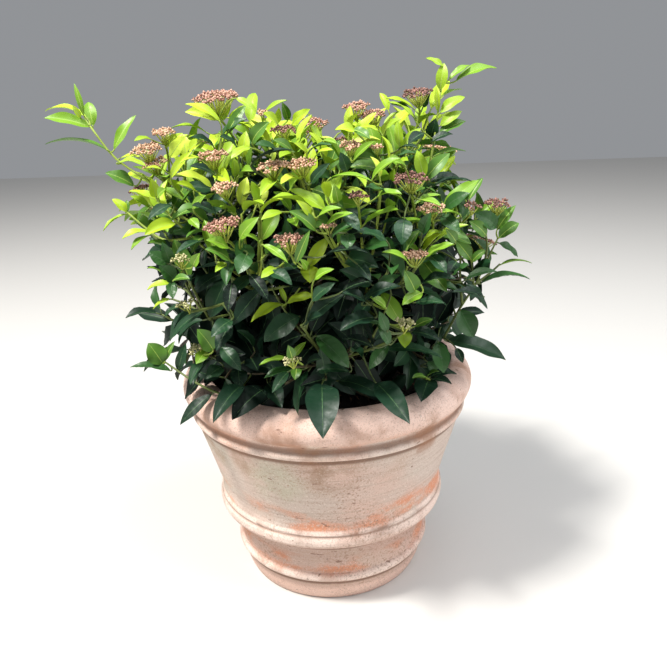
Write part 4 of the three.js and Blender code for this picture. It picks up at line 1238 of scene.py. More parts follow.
def leaf_surface(leaf, u, v, lift=0.0):
    """Points on a leaf's upper face: u runs from base to tip, and v from -1 to 1 across it."""
    across = np.cross(leaf.facing, leaf.direction)
    swing = leaf.bend * u
    along = np.sin(swing) / leaf.bend
    drop = (1 - np.cos(swing)) / leaf.bend
    half = leaf.width / 2 * leaf_half_width(u)
    rise = half * (leaf.fold * np.abs(v) ** LEAF_FOLD["power"] + leaf.twist * v * u)
    swell = 2 * math.pi * LEAF_WAVE["count"] * u + leaf.owner + (v > 0) * LEAF_WAVE["shift"]
    rise = rise + half * leaf.wave * np.sin(swell) * v * v
    if leaf.grid == VEINED_LEAF:
        vein = np.sin(2 * math.pi * VEINS["pairs"] * (u - VEINS["lean"] * half * np.abs(v) * 2))
        fade = 4 * np.abs(v) * (1 - np.abs(v)) * np.minimum(4 * half, 1)
        rise = rise + VEINS[leaf_age(leaf)] * vein * fade
    normal = np.cos(swing)[:, None] * leaf.facing + np.sin(swing)[:, None] * leaf.direction
    points = along[:, None] * leaf.direction - drop[:, None] * leaf.facing
    points = points + (half * v)[:, None] * across + rise[:, None] * normal
    return leaf.root + points * leaf.size + normal * np.broadcast_to(lift, u.shape)[:, None]


class LeafShell(NamedTuple):
    """Shares along and across a leaf for the points of both its faces, and its closed faces."""

    top_u: np.ndarray
    top_v: np.ndarray
    under_u: np.ndarray
    under_v: np.ndarray
    faces: list


def leaf_shell(rows, strips):
    """Two grids that share the leaf's base, tip and margins."""
    along = (1 - np.cos(np.pi * np.arange(1, rows + 1) / (rows + 1))) / 2
    across = np.linspace(-1, 1, strips + 1)
    base, tip, last = 0, 1, rows - 1
    first_under = 2 + rows * (strips + 1)

    def top(i, j):
        return 2 + i * (strips + 1) + j

    def under(i, j):
        return top(i, j) if j in (0, strips) else first_under + i * (strips - 1) + j - 1

    faces = []
    for j in range(strips):
        k = j + 1
        faces += [(base, top(0, k), top(0, j)), (base, under(0, j), under(0, k))]
        faces += [(tip, top(last, j), top(last, k)), (tip, under(last, k), under(last, j))]
        for i in range(last):
            faces.append((top(i, j), top(i, k), top(i + 1, k), top(i + 1, j)))
            faces.append((under(i, j), under(i + 1, j), under(i + 1, k), under(i, k)))
    return LeafShell(
        top_u=np.concatenate([[0, 1], np.repeat(along, strips + 1)]),
        top_v=np.concatenate([[0, 0], np.tile(across, rows)]),
        under_u=np.repeat(along, strips - 1),
        under_v=np.tile(across[1:-1], rows),
        faces=faces,
    )


LEAF_SHELLS = {grid: leaf_shell(*grid) for grid in (PLAIN_LEAF, VEINED_LEAF)}


def leaf_shape(leaf):
    shell = LEAF_SHELLS[leaf.grid]
    top = leaf_surface(leaf, shell.top_u, shell.top_v)
    under = leaf_surface(leaf, shell.under_u, shell.under_v, -LEAF_THICKNESS)
    return np.vstack([top, under]), shell.faces


def ridge(leaf, crest, sides, rise):
    """A low ridge on a leaf's upper face; each of its lines is shares along and across the leaf."""
    lines = [leaf_surface(leaf, *crest, rise)]
    lines += [leaf_surface(leaf, *side, -RIB_SINK) for side in sides]
    points = np.stack(lines, 1).reshape(-1, 3)
    end = len(points) - 3
    faces = [(0, 1, 2), (end, end + 2, end + 1)]
    for a in range(0, end, 3):
        faces += [(a, a + 3, a + 4, a + 1), (a + 1, a + 4, a + 5, a + 2), (a + 2, a + 5, a + 3, a)]
    return points, faces


def rib_shape(leaf):
    """The midrib, which fades before the tip."""
    u = np.linspace(0.0, RIB["reach"], RIB_SECTIONS)
    fade = 1 - u
    blade = leaf.width / 2 * leaf_half_width(np.maximum(u, RIB["start"])) * leaf.size
    half = (RIB["half"][0] + RIB["half"][1] * fade) / np.maximum(blade, RIB["narrowest"])
    return ridge(leaf, (u, 0 * u), ((u, -half), (u, half)), RIB["rise"][0] + RIB["rise"][1] * fade)


def side_veins(leaf):
    """Fine ridges from the midrib towards the margins, in the leaf's own hollows."""
    out = np.linspace(SIDE_VEIN["start"], SIDE_VEIN["reach"], SIDE_VEIN["sections"])
    half = SIDE_VEIN["half"] * (1 - SIDE_VEIN["taper"] * out) / leaf.size
    for k in range(VEINS["pairs"] - 1):
        start = (k + SIDE_VEIN["first"]) / VEINS["pairs"]
        u = start + VEINS["lean"] * leaf.width * leaf_half_width(np.array([start])) * out
        for side in (-1, 1):
            v = side * out
            sides = ((u + side * half, v), (u - side * half, v))
            yield ridge(leaf, (u, v), sides, SIDE_VEIN["rise"])


SAMPLE_U = np.repeat(np.linspace(0.06, 0.98, 11), 5)
SAMPLE_V = np.tile((-0.85, -0.42, 0.0, 0.42, 0.85), 11)
AROUND = np.array([(i, j, k) for i in (-1, 0, 1) for j in (-1, 0, 1) for k in (-1, 0, 1)])


class Room:
    """A grid of cells that keeps leaves clear of one another, of the twigs and of the pot."""

    BLOCKED = -1

    def __init__(self, low, high):
        self.low = np.array([low[0], low[1], ROOM_FLOOR]) - ROOM_MARGIN
        size = np.ceil((high - self.low + ROOM_MARGIN) / CELL).astype(int)
        self.leaves = np.zeros(size, np.int16)
        self.twigs = np.zeros(size, np.int16)
        self.reach = (self.low + (ROOM_MARGIN - LEAF_PROUD), high + LEAF_PROUD)

    def cells(self, points):
        return tuple(((points - self.low) / CELL).astype(int).T)

    def take_twig(self, curve, owner):
        shares = np.linspace(0, 1, max(int(curve.length / TWIG_STEP), 2))
        self.twigs[self.cells(np.array([curve.at(s) for s in shares]))] = owner

    def fits(self, samples, owner, twig):
        if (samples < self.reach[0]).any() or (samples > self.reach[1]).any():
            return False
        cells = self.cells(samples)
        leaves = self.leaves[cells]
        twigs = self.twigs[cells]
        if ((leaves != 0) & (leaves != owner)).any() or ((twigs != 0) & (twigs != twig)).any():
            return False
        return not inside_pot(samples, POT_GAP["leaf"]).any() and not in_dip(samples)

    def take_leaf(self, samples, owner):
        cells = np.array(self.cells(samples)).T[:, None] + AROUND[None]
        self.leaves[tuple(cells.reshape(-1, 3).T)] = owner

    def block_trunk(self):
        turns = np.arange(0, 2 * math.pi, TRUNK_ROOM["turn"])
        rise = TRUNK_ROOM["rise"]
        for height in np.arange(TRUNK_BASE + rise, TRUNK_TOP + rise, TRUNK_ROOM["step"]):
            for radius in TRUNK_ROOM["radii"]:
                self.take_leaf(trunk_axis(height) + circle(radius, turns, 0), self.BLOCKED)

    def keep_in_view(self, samples):
        """Nothing grows just in front of these, towards the camera."""
        way = unit(CAMERA_PLACE - samples.mean(0))
        for distance in np.arange(*IN_VIEW):
            self.take_leaf(np.minimum(samples + way * distance, self.reach[1]), self.BLOCKED)


def pose_leaf(axis, turn, angle, lift, roll):
    """The way a leaf points and the way its upper face looks, as on the solids."""
    out = radial(axis, turn)
    direction = axis * math.cos(angle) + out * math.sin(angle)
    direction[2] += lift
    direction = unit(direction)
    facing = axis * LEAF_FACING["along"] + UP * LEAF_FACING["up"] - out * LEAF_FACING["back"]
    facing = unit(facing - direction * facing.dot(direction))
    across = np.cross(direction, facing)
    return direction, facing * math.cos(roll) + across * math.sin(roll)


def shade_of(place, pair, flush, chance):
    """Darker for an old leaf and, as painted shade, deep and low in the crown; paler for a young one
    and, as painted light, high on the outside.
    """
    height = smooth(place[2], *PAINTED_LIGHT_HEIGHTS)
    outer = smooth(crown_share(place), *PAINTED_LIGHT_SHARES)
    youth = PALE_PAIRS[min(pair, len(PALE_PAIRS) - 1)]
    weights = PALE_WEIGHTS
    # Height and share of the reach paint light and shade; youth is the leaf's own colour
    value = weights["height"] * height * outer + weights["outer"] * outer
    value += weights["young"] * youth * flush * between((weights["inner_young"], 1), outer)
    value += weights["chance"] * (chance - 0.5)
    return SHADE_NAMES[int(np.clip(value * len(SHADE_NAMES), 0, len(SHADE_NAMES) - 1))]


def seen_leaf(seen, index):
    """A leaf where the photo shows it, bent back so that its chord runs from base to tip."""
    if isinstance(seen, CrownLeaf):
        distance = distance_to_crown(np.add(seen.base, seen.tip) / 2, CROWN_LEAF_DEPTH)
        base = CAMERA_PLACE + sight_line(seen.base) * (distance + CROWN_LEAF_TILT)
        tip = CAMERA_PLACE + sight_line(seen.tip) * (distance - CROWN_LEAF_TILT)
    else:
        base = seen_at(seen.base, seen.base_near)
        tip = seen_at(seen.tip, seen.tip_near)
    random = seeded_random(SEEN_SEEDS["leaf"] + index)
    bend = between(LEAF_BEND, drawn(SEEN_FORM["bend"], random))
    chord = unit(tip - base)
    facing = UP * seen.upward + unit(CAMERA_PLACE - base) * (SEEN_FORM["facing"] - seen.upward)
    facing = unit(facing - chord * facing.dot(chord))
    return Leaf(
        root=base,
        direction=chord * math.cos(bend / 2) + facing * math.sin(bend / 2),
        facing=facing * math.cos(bend / 2) - chord * math.sin(bend / 2),
        size=np.linalg.norm(tip - base) * (bend / 2) / math.sin(bend / 2),
        width=seen.width,
        bend=bend,
        fold=drawn(SEEN_FORM["fold"], random),
        twist=SEEN_FORM["twist"] * (random() - 0.5),
        wave=between(LEAF_WAVE["depth"], SEEN_FORM["wave"] * random()),
        owner=index + 1,
        shade=seen.shade,
        grid=VEINED_LEAF,
    )


def mark_used(shoots):
    """How far along each shoot something grows; the rest of it is left out."""
    for shoot in reversed(shoots):
        if shoot.tint or not shoot.leafy:
            shoot.used = 1
        if shoot.used and shoot.parent:
            shoot.parent.used = max(shoot.parent.used, shoot.fork)


def leaf_stalk(leaf, twig_places):
    """A stalk from the nearest twig to the base of a leaf that the photo shows."""
    start = smooth_start(twig_places, leaf.root, leaf.direction, LEAF_STALK["bend_cost"])
    turn = min(np.linalg.norm(leaf.root - start) * LEAF_STALK["share"], LEAF_STALK["turn"])
    end = leaf.root + leaf.direction * LEAF_STALK["lap"]
    return Curve.bezier(start, leaf.root - leaf.direction * turn, end)


@dataclass
class Spot:
    """Where on its shoot a leaf grows, and what it draws for its form."""

    root: np.ndarray
    axis: np.ndarray
    first_turn: float
    pair: int
    hand: float
    young: float
    owner: int
    twig: int
    angle: float = 0
    roll: float = 0
    chance: float = 0
    form: dict = None


def draw_form(spot, high, random):
    """A leaf's angle, size and form, smaller high in the crown and narrower while young."""
    wobble = LEAF_ANGLE_VARIATION * (random() - 0.5)
    spot.angle = math.radians(FIRST_LEAF_ANGLE + LEAF_ANGLE_STEP * min(spot.pair, 4) + wobble)
    size = LEAF_LENGTH * (1 - (1 - YOUNG_LEAF_SHARE) * max(high, spot.young))
    size *= 1 + LEAF_VARIATION * (random() - 0.5)
    share = random()
    widths = (between(LEAF_WIDTH["old"], share), between(LEAF_WIDTH["young"], share))
    spot.form = {
        "size": size,
        "width": between(widths, spot.young),
        "bend": between(LEAF_BEND, random()),
        "fold": drawn(LEAF_FOLD["drawn"], random) + LEAF_FOLD["young"] * spot.young,
        "twist": LEAF_TWIST * (random() - 0.5),
        "wave": between(LEAF_WAVE["depth"], random()),
    }
    spot.roll = math.radians(LEAF_ROLL) * (2 * random() - 1)
    spot.chance = random()


def place_leaf(spot, flush, room):
    """A leaf in the first pose that has room, or None."""
    for turn, lift, size_share in LEAF_TRIES:
        lift += LEAF_RISE * spot.young - LEAF_DROOP * (spot.pair + 1) * (1 - spot.young)
        turn = math.radians(turn) + spot.first_turn + spot.pair * math.pi / 2 + spot.hand
        way, facing = pose_leaf(spot.axis, turn, spot.angle, lift, spot.roll)
        root = spot.root + way * PETIOLE[0]
        leaf = Leaf(root=root, direction=way, facing=facing, owner=spot.owner, **spot.form)
        leaf.size *= size_share
        samples = leaf_surface(leaf, SAMPLE_U, SAMPLE_V)
        middle = samples.mean(0)
        if core_share(middle) > CROWN_EDGE + LEAF_MARGIN and spot.pair > 2:
            return None
        if room.fits(samples, spot.owner, spot.twig):
            leaf.shade = shade_of(middle, spot.pair, flush, spot.chance)
            room.take_leaf(samples, spot.owner)
            return leaf
    return None


def leaves_of(shoot, number, room):
    """Leaves in pairs down a shoot, a quarter turn on from pair to pair, where there is room."""
    random = seeded_random(shoot.seed * LEAF_SEED[0] + LEAF_SEED[1])
    first_turn = random() * math.pi
    height = shoot.curve.end[2]
    flush = between(FLUSH, random()) * between((LOW_FLUSH, 1), smooth(height, *FLUSH_HEIGHTS))
    if random() < EARLY_FLUSH["chance"]:
        flush = EARLY_FLUSH["value"]
    back = drawn(FIRST_PAIR, random)
    leaves = []
    for pair in range(PAIRS):
        share = 1 - back / shoot.curve.length
        back += between(PAIR_PITCH, random())
        if share < BARE_SHARE:
            break
        for hand in (0, math.pi):
            spot = Spot(
                shoot.curve.at(share), shoot.curve.along(share), first_turn, pair, hand,
                young=max(0.0, 1 - pair / YOUNG_PAIRS),
                owner=LEAF_OWNER + number * PAIRS + pair,
                twig=number + 1,
            )
            draw_form(spot, smooth(height, *SMALL_HEIGHTS), random)
            leaf = place_leaf(spot, flush, room)
            if leaf:
                leaves.append(leaf)
                shoot.used = max(shoot.used, share)
    return leaves


def grow_leaves(shoots, room):
    leaves = []
    for number, shoot in enumerate(shoots):
        if shoot.leafy:
            leaves += leaves_of(shoot, number, room)
    return leaves


# Small solids


def limb_faces(steps, sides):
    """The faces of a closed limb with this many steps between its rings."""
    faces = []
    for i in range(steps):
        faces += ring_faces(i * sides, (i + 1) * sides, sides)
    faces.append(tuple(range(sides))[::-1])
    faces.append(tuple(range(steps * sides, (steps + 1) * sides)))
    return faces


def tube(points, radii, sides):
    """A closed round limb along a line of points."""
    points = np.asarray(points)
    along = np.gradient(points, axis=0)
    along /= np.linalg.norm(along, axis=1)[:, None]
    side = np.cross(UP if abs(along[0][2]) < 0.9 else np.array([1.0, 0, 0]), along[0])
    rings = []
    turns = np.arange(sides) * 2 * math.pi / sides
    for place, way, radius in zip(points, along, radii):
        side = unit(side - way * side.dot(way))
        over = np.cross(way, side)
        ways = np.cos(turns)[:, None] * side + np.sin(turns)[:, None] * over
        rings.append(place + radius * ways)
    return np.vstack(rings), limb_faces(len(points) - 1, sides)


def curve_tube(curve, radii, sides, steps, from_share=0.0, to_share=1.0):
    shares = np.linspace(from_share, to_share, steps + 1)
    points = [curve.at(s) for s in shares]
    return tube(points, radii[0] + (radii[1] - radii[0]) * shares, sides)


def bud_template():
    """A small oval with five sides and a radius of about 1."""
    turns = np.arange(5) * math.pi * 0.4
    points = np.vstack([
        [0, 0, -1.2], circle(0.85, turns, -0.4), circle(0.85, turns + 0.6, 0.45), [0, 0, 1.2],
    ])
    faces = []
    for j in range(5):
        k = (j + 1) % 5
        faces += [(0, 1 + k, 1 + j), (1 + j, 1 + k, 6 + k, 6 + j), (6 + j, 6 + k, 11)]
    return points, faces


BUD_POINTS, BUD_FACES = bud_template()


def turn_to(axis):
    """A rotation that takes +Z to an axis."""
    return np.array(Vector(axis).to_track_quat("Z", "Y").to_matrix())


def head_knots(shoot):
    """The end of each ray of a head, spread like seeds on a flower head, and the head's axis."""
    random = seeded_random(shoot.seed + RAYS["seed"])
    axis = unit(shoot.curve.along(1) * HEAD_LEAN + UP)
    turned = turn_to(axis)
    radius = shoot.head_width / 2
    count = max(round(math.pi * radius**2 / KNOT_AREA), 4)
    knots = []
    for n in range(count):
        out = radius * math.sqrt((n + RAYS["first"]) / count) * drawn(RAYS["reach"], random)
        turn = n * GOLDEN_ANGLE + shoot.seed + RAYS["turn"] * random()
        height = radius * (HEAD_RISE - HEAD_DROOP * (out / radius) ** 2)
        height += RAYS["rise"] * (random() - 0.5)
        knots.append(turned @ np.array([out * math.cos(turn), out * math.sin(turn), height]))
    return shoot.curve.end + np.array(knots), axis


def head_places(shoot):
    """Points all over a head, where no leaf may be."""
    knots, axis = head_knots(shoot)
    return np.vstack([knots + axis * up for up in HEAD_LAYERS])


def add_head(shoot, stalks, buds):
    """A flat-topped head: rays fan out from the shoot's tip, and each ends in a knot of buds."""
    random = seeded_random(shoot.seed + BUDS["seed"])
    tip = shoot.curve.end
    knots, axis = head_knots(shoot)
    for knot in knots:
        bow = (tip + knot) / 2 - axis * RAY_FORM["bow"] * np.linalg.norm(knot - tip)
        foot = tip - axis * RAY_FORM["foot"]
        stalks.add(*tube([foot, bow, knot], RAY_RADII, RAY_FORM["sides"]))
        tilt = turn_to(unit(axis * RAY_FORM["lean"] + unit(knot - tip)))
        add_knot(knot, tilt, buds[shoot.tint], random)


def add_knot(knot, tilt, piles, random):
    """One bud in the middle and four or five round it, of the head's two tints."""
    around = 4 + int(random() * 2)
    spin = random() * 6
    for n in range(around + 1):
        lean = 0.0 if n == 0 else math.radians(drawn(BUDS["opening"], random))
        turn = spin + n * 2 * math.pi / around
        flat = math.sin(lean)
        way = tilt @ np.array([flat * math.cos(turn), flat * math.sin(turn), math.cos(lean)])
        place = knot + way * drawn(BUDS["out"], random) - tilt[:, 2] * BUDS["sink"]
        size = BUD_RADIUS * drawn(BUDS["size"], random)
        pile = piles[int(random() ** BUDS["second_tint"] * len(piles))]
        pile.add(place + BUD_POINTS @ (turn_to(way).T * size), BUD_FACES)


# Materials


class Shading:
    """The nodes of one material."""

    def __init__(self, name):
        self.material = bpy.data.materials.new(name)
        self.material.use_nodes = True
        self.tree = self.material.node_tree
        self.shader = self.tree.nodes["Principled BSDF"]
        self.place = self.node("TexCoord").outputs["Object"]

    def put(self, node, values):
        """Values are set on the sockets themselves, and outputs of other nodes are linked."""
        for name, value in values.items():
            if isinstance(value, bpy.types.NodeSocket):
                self.tree.links.new(value, node.inputs[name])
            else:
                node.inputs[name].default_value = value

    def node(self, kind, values=None, **settings):
        node = self.tree.nodes.new("ShaderNode" + kind)
        for name, value in settings.items():
            setattr(node, name, value)
        self.put(node, values or {})
        return node

    def math(self, operation, *values):
        return self.node("Math", dict(enumerate(values)), operation=operation).outputs[0]

    def noise(self, vector, scale, detail):
        texture = self.node("TexNoise", {"Vector": vector, "Scale": scale, "Detail": detail})
        return texture.outputs["Fac"]

    def ramp(self, value, low, high, ends=(0, 1), kind="SMOOTHSTEP"):
        """The first end up to low, the other one from high on, and a ramp between them."""
        names = ("Value", "From Min", "From Max", "To Min", "To Max")
        values = dict(zip(names, (value, low, high, *ends)))
        return self.node("MapRange", values, interpolation_type=kind).outputs["Result"]

    def blotches(self, scale, low, high, strength=1, stretch=None, detail=5):
        """Noise as blotches of this strength: none below low and full above high."""
        vector = self.place
        if stretch:
            vector = self.node("Mapping", {"Vector": vector, "Scale": stretch}).outputs["Vector"]
        mask = self.ramp(self.noise(vector, scale, detail), low, high)
        return self.math("MULTIPLY", mask, strength)

    def at_height(self, middle, half, soft, strength=1):
        """This strength at a height of the object and 0 away from it, in metres."""
        height = self.node("SeparateXYZ", {0: self.place}).outputs["Z"]
        away = self.math("ABSOLUTE", self.math("SUBTRACT", height, middle))
        return self.math("MULTIPLY", self.ramp(away, half, half + soft, (1, 0)), strength)

    def near(self, centre, radius, soft):
        """1 round a place and 0 away from it."""
        away = self.node("VectorMath", {0: self.place, 1: centre}, operation="DISTANCE")
        return self.ramp(away.outputs["Value"], radius, radius + soft, (1, 0))

    def colour(self, ground, layers, roughness, gloss=None):
        """A ground colour with others laid over it, each where its mask is."""
        result = linear(ground)
        for mask, tint in layers:
            values = {"Factor": mask, "A": result, "B": linear(tint)}
            result = self.node("Mix", values, data_type="RGBA").outputs["Result"]
        self.put(self.shader, {"Base Color": result, "Roughness": roughness})
        if gloss is not None:
            self.put(self.shader, {"Specular IOR Level": gloss})

    def bump(self, scale, strength, distance, detail=4):
        """Fine relief from noise in the object's own space."""
        grain = self.noise(self.place, scale, detail)
        bump = self.node("Bump", {"Strength": strength, "Distance": distance, "Height": grain})
        self.put(self.shader, {"Normal": bump.outputs["Normal"]})
        return grain


def plant_material(name, colour, roughness, grain=PLANT_GRAIN, gloss=0.5):
    """One plain colour with a leathery grain and an uneven gloss."""
    shading = Shading(name)
    shading.colour(colour, [], roughness, gloss)
    texture = shading.bump(*grain, PLANT_GRAIN_DEPTH)
    ends = (roughness - PLANT_ROUGH_RANGE[0], roughness + PLANT_ROUGH_RANGE[1])
    shading.put(shading.shader, {"Roughness": shading.ramp(texture, *GRAIN_LEVELS, ends, "LINEAR")})
    return shading.material


def make_piece(name, points, faces, material, replaced, smooth_angle=None):
    """A mesh in metres that rides on the only body."""
    mesh = bpy.data.meshes.new(name)
    mesh.from_pydata((np.asarray(points) * MM).tolist(), [], faces)
    mesh.validate()
    mesh.materials.append(material)
    mesh.shade_smooth()
    if smooth_angle is not None:
        mesh.set_sharp_from_angle(angle=math.radians(smooth_angle))
    piece = bpy.data.objects.new(name, mesh)
    bpy.context.scene.collection.objects.link(piece)
    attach(piece, "root")
    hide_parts(*replaced)


def make_heap(name, heap, material, replaced, smooth_angle=None):
    """A piece from a heap, if there is anything in it."""
    if heap.count:
        points = np.vstack(heap.points)
        make_piece(name, points, heap.faces, material, replaced, smooth_angle)


# Pot


def arc(x, z, radius_x, radius_z, start, end, steps):
    turn = np.radians(np.linspace(start, end, steps + 1))
    return np.column_stack([x + radius_x * np.cos(turn), z + radius_z * np.sin(turn)])


def bend(start, pull, end, steps):
    t = np.linspace(0, 1, steps + 1)[:, None]
    return (1 - t) ** 2 * np.array(start) + 2 * t * (1 - t) * np.array(pull) + t * t * np.array(end)


def bead(spec, start, end, steps):
    inner = spec["radius"] - spec["bulge"]
    return arc(inner, spec["middle"], spec["bulge"], spec["half"], start, end, steps)


def pot_outside():
    low = bead(LOW_BEAD, -90, 90, 10)
    groove = (RING_GROOVE["lip"], RING_GROOVE["height"] + RING_GROOVE["gap"])
    under = RIM_RADIUS - ROLL["under_bulge"]
    over = RIM_RADIUS - ROLL["over_bulge"]
    return np.vstack([
        bend((FOOT["radius"], 0), FOOT["pull"], low[0], 6),
        low[1:],
        bend(low[-1], BODY_PULL, RING_STEP, 12)[1:],
        bead(RING_BEAD, -80, 55, 10),
        [(RING_GROOVE["radius"], RING_GROOVE["height"])],
        bend(groove, WAIST_PULL, WAIST, 12),
        bead(BAND, -90, 60, 8),
        NECK,
        arc(under, ROLL["middle"], ROLL["under_bulge"], ROLL["under"], -72, 0, 10),
        arc(over, ROLL["middle"], ROLL["over_bulge"], ROLL["over"], 0, 90, 16)[1:],
    ])


def pot_inside():
    lip_x = LIP["radius"] + LIP["round"]
    return np.vstack([
        arc(lip_x, RIM_TOP - LIP["round"], LIP["round"], LIP["round"], 90, 180, 8),
        [
            (SHOULDER[0] - WALL, SHOULDER[1]),
            (WAIST_PULL[0] - WALL, WAIST_PULL[1]),
            (RING_STEP[0] - WALL, RING_STEP[1]),
            (LOW_BEAD["radius"] - LOW_BEAD["bulge"] - WALL, LOW_BEAD["middle"]),
            (FOOT["radius"] - WALL, FLOOR + FLOOR_ROUND),
            (FOOT["radius"] - WALL - FLOOR_ROUND, FLOOR),
        ],
    ])


def even_steps(line, step):
    """The same line with points at even steps, its own corners kept nearly."""
    gaps = np.linalg.norm(np.diff(line, axis=0), axis=1)
    lengths = np.concatenate([[0], np.cumsum(gaps)])
    where = np.linspace(0, lengths[-1], int(lengths[-1] / step) + 1)
    return np.column_stack([np.interp(where, lengths, line[:, i]) for i in range(2)])


def pot_relief(radius, z, turn, outside):
    """Marks of the potter's hands, slow wobbles, and small chips and pits."""
    way = Vector((math.cos(turn), math.sin(turn), 0))

    def noise_at(scale):
        return noise.noise(way * radius * scale + Vector((0, 0, z * scale)))

    wobble = POT_WOBBLE["depth"] * noise_at(POT_WOBBLE["scale"])
    if not outside:
        return wobble
    drift = THROWING_LINE["drift"] * noise.noise(way * 1.3 + Vector((0, 0, z * 0.012)))
    line = math.sin(2 * math.pi * z / THROWING_LINE["pitch"] + drift * 2)
    fade = smooth(z, *THROWING_LINE["in"]) * (1 - smooth(z, *THROWING_LINE["out"]))
    worn = smooth(noise.noise(way * 2.1 + Vector((3, 1, z * 0.03))), -0.4, 0.5)
    strength = THROWING_LINE["depth"] * fade * between((THROWING_LINE["least"], 1), worn)
    pit = noise_at(POT_CHIPS["scale"])
    chip = POT_CHIPS["depth"] * smooth(pit, POT_CHIPS["from"], POT_CHIPS["to"])
    return wobble + line * strength - chip + POT_GRAIN["depth"] * noise_at(POT_GRAIN["scale"])


def make_pot():
    outside = even_steps(pot_outside(), POT_STEP)
    profile = np.vstack([outside, even_steps(pot_inside(), INSIDE_STEP)])
    turns = np.arange(POT_SIDES) * 2 * math.pi / POT_SIDES
    points = []
    for i, (radius, z) in enumerate(profile):
        fade = smooth(z, *POT_FOOT_FADE)
        for turn in turns:
            r = radius + fade * pot_relief(radius, z, turn, i < len(outside))
            points.append((r * math.cos(turn), r * math.sin(turn), z))
    faces = []
    for i in range(len(profile) - 1):
        faces += ring_faces(i * POT_SIDES, (i + 1) * POT_SIDES, POT_SIDES)
    add_drained_floor(points, faces, profile)
    material = terracotta_material()
    make_piece("terracotta_pot", points, faces, material, ["pot"], SHARP["pot"])


def add_drained_floor(points, faces, profile):
    """The underside and the inner floor, with drain holes through both."""
    sides = DRAIN["sides"]
    turns = np.arange(sides) * 2 * math.pi / sides
    around = np.array([(math.cos(t), math.sin(t), 0) for t in turns])
    circles = []
    for n in range(DRAIN["holes"]):
        middle = heading(DRAIN["first"] + 360 / DRAIN["holes"] * n, 0) * DRAIN["circle"]
        circles.append(middle + DRAIN["radius"] * around)
    last = (len(profile) - 1) * POT_SIDES
    starts = []
    for ring, height, faces_up in ((0, 0, False), (last, FLOOR, True)):
        starts.append(len(points))
        loops = [list(range(ring, ring + POT_SIDES))]
        for hole in circles:
            loops.append(list(range(len(points), len(points) + sides)))
            points.extend((p[0], p[1], height) for p in hole)
        order = sum(loops, [])
        for triangle in tessellate_polygon([[Vector(points[i]) for i in loop] for loop in loops]):
            corners = tuple(order[i] for i in triangle)
            a, b, c = (Vector(points[i]) for i in corners)
            up = (b - a).cross(c - a).z > 0
            faces.append(corners if up == faces_up else corners[::-1])
    for n in range(DRAIN["holes"]):
        low, high = (start + n * sides for start in starts)
        faces += ring_faces(low, high, sides, inward=True)


def bare_clay(clay, band):
    """Ragged orange clay at a height, down to its grain."""
    blotches, stretch, grain, tint = BARE_CLAY
    *place, strength = band
    patches = clay.blotches(*blotches, strength, stretch)
    bare = clay.math("MULTIPLY", clay.at_height(*place), patches)
    return clay.math("MULTIPLY", bare, clay.blotches(*grain)), tint


# A band of blotches at a height, for stains and for worn clay with its painted highlight
def blotched_band(clay, place, blotches, tint):
    return clay.math("MULTIPLY", clay.at_height(*place), clay.blotches(*blotches)), tint


def terracotta_material():
    """Bleached sandy clay, bare above the rings, with painted shade on the front, in the grooves and
    under the rings, worn rings with a painted highlight, stains and grit.
    """
    clay = Shading("terracotta")
    layers = [(clay.blotches(*blotches), tint) for *blotches, tint in CLAY_BLOTCHES]
    layers += [(clay.at_height(*place), tint) for *place, tint in CLAY_HEIGHTS]
    # Patches on the front: a greenish-grey tint, and painted shade in brown
    for centre, radius, soft, strength, tint in PATCHES:
        ragged = clay.blotches(*PATCH_EDGE[0], strength, PATCH_EDGE[1])
        layers.append((clay.math("MULTIPLY", clay.near(centre, radius, soft), ragged), tint))
    layers += [bare_clay(clay, band) for band in BARE_BANDS]
    layers.append((clay.blotches(*CLAY_SAND[0]), CLAY_SAND[1]))
    # Painted shade in the grooves and under the beads and rings
    layers += [(clay.at_height(*band), CREVICE_SHADE_COLOUR) for band in CREVICE_SHADE_BANDS]
    # Pale worn clay with a painted highlight on the lips and bead crests
    for *place, strength in WORN_AND_HIGHLIT_BANDS:
        layers.append(blotched_band(clay, place, (*WORN_AND_HIGHLIT_CLAY[0], strength), WORN_AND_HIGHLIT_CLAY[1]))
    layers += [blotched_band(clay, *spec) for spec in CLAY_STAINS]
    dirty, grit, tint = GRIT
    layers.append((clay.math("MULTIPLY", clay.blotches(*dirty), clay.blotches(*grit)), tint))
    layers += [(clay.blotches(*blotches), tint) for *blotches, tint in CLAY_SPECKS]
    clay.colour(CLAY_GROUND, layers, ROUGHNESS["clay"], CLAY_GLOSS)
    clay.bump(*CLAY_BUMP)
    return clay.material


# Compost


def soil_fall(radius):
    """How far the compost drops from its middle to this far out."""
    return SOIL_FALL["depth"] * smooth(radius, SOIL_FALL["from"], SOIL_EDGE)


def soil_lump(x, y):
    """Wide hollows and rises with small lumps on them."""
    (wide, scale, level), (small, fine, fine_level) = SOIL_LUMPS
    lump = wide * noise.noise(Vector((x * scale, y * scale, level)))
    return lump + small * abs(noise.noise(Vector((x * fine, y * fine, fine_level))))


def soil_surface():
    """An uneven dome of fine relief."""
    points = []
    for i in range(SOIL_RINGS):
        r = SOIL_EDGE * (i + 1) / SOIL_RINGS
        for j in range(SOIL_SIDES):
            turn = 2 * math.pi * (j + 0.5 * (i % 2)) / SOIL_SIDES
            x, y = r * math.cos(turn), r * math.sin(turn)
            points.append((x, y, SOIL_TOP - SOIL_SINK - soil_fall(r) + soil_lump(x, y)))
    faces = []
    for i in range(SOIL_RINGS - 1):
        faces += ring_faces(i * SOIL_SIDES, (i + 1) * SOIL_SIDES, SOIL_SIDES, inward=True)
    centre = len(points)
    points.append((0, 0, SOIL_TOP - 0.5))
    faces += [(centre, j, (j + 1) % SOIL_SIDES) for j in range(SOIL_SIDES)]
    return points, faces


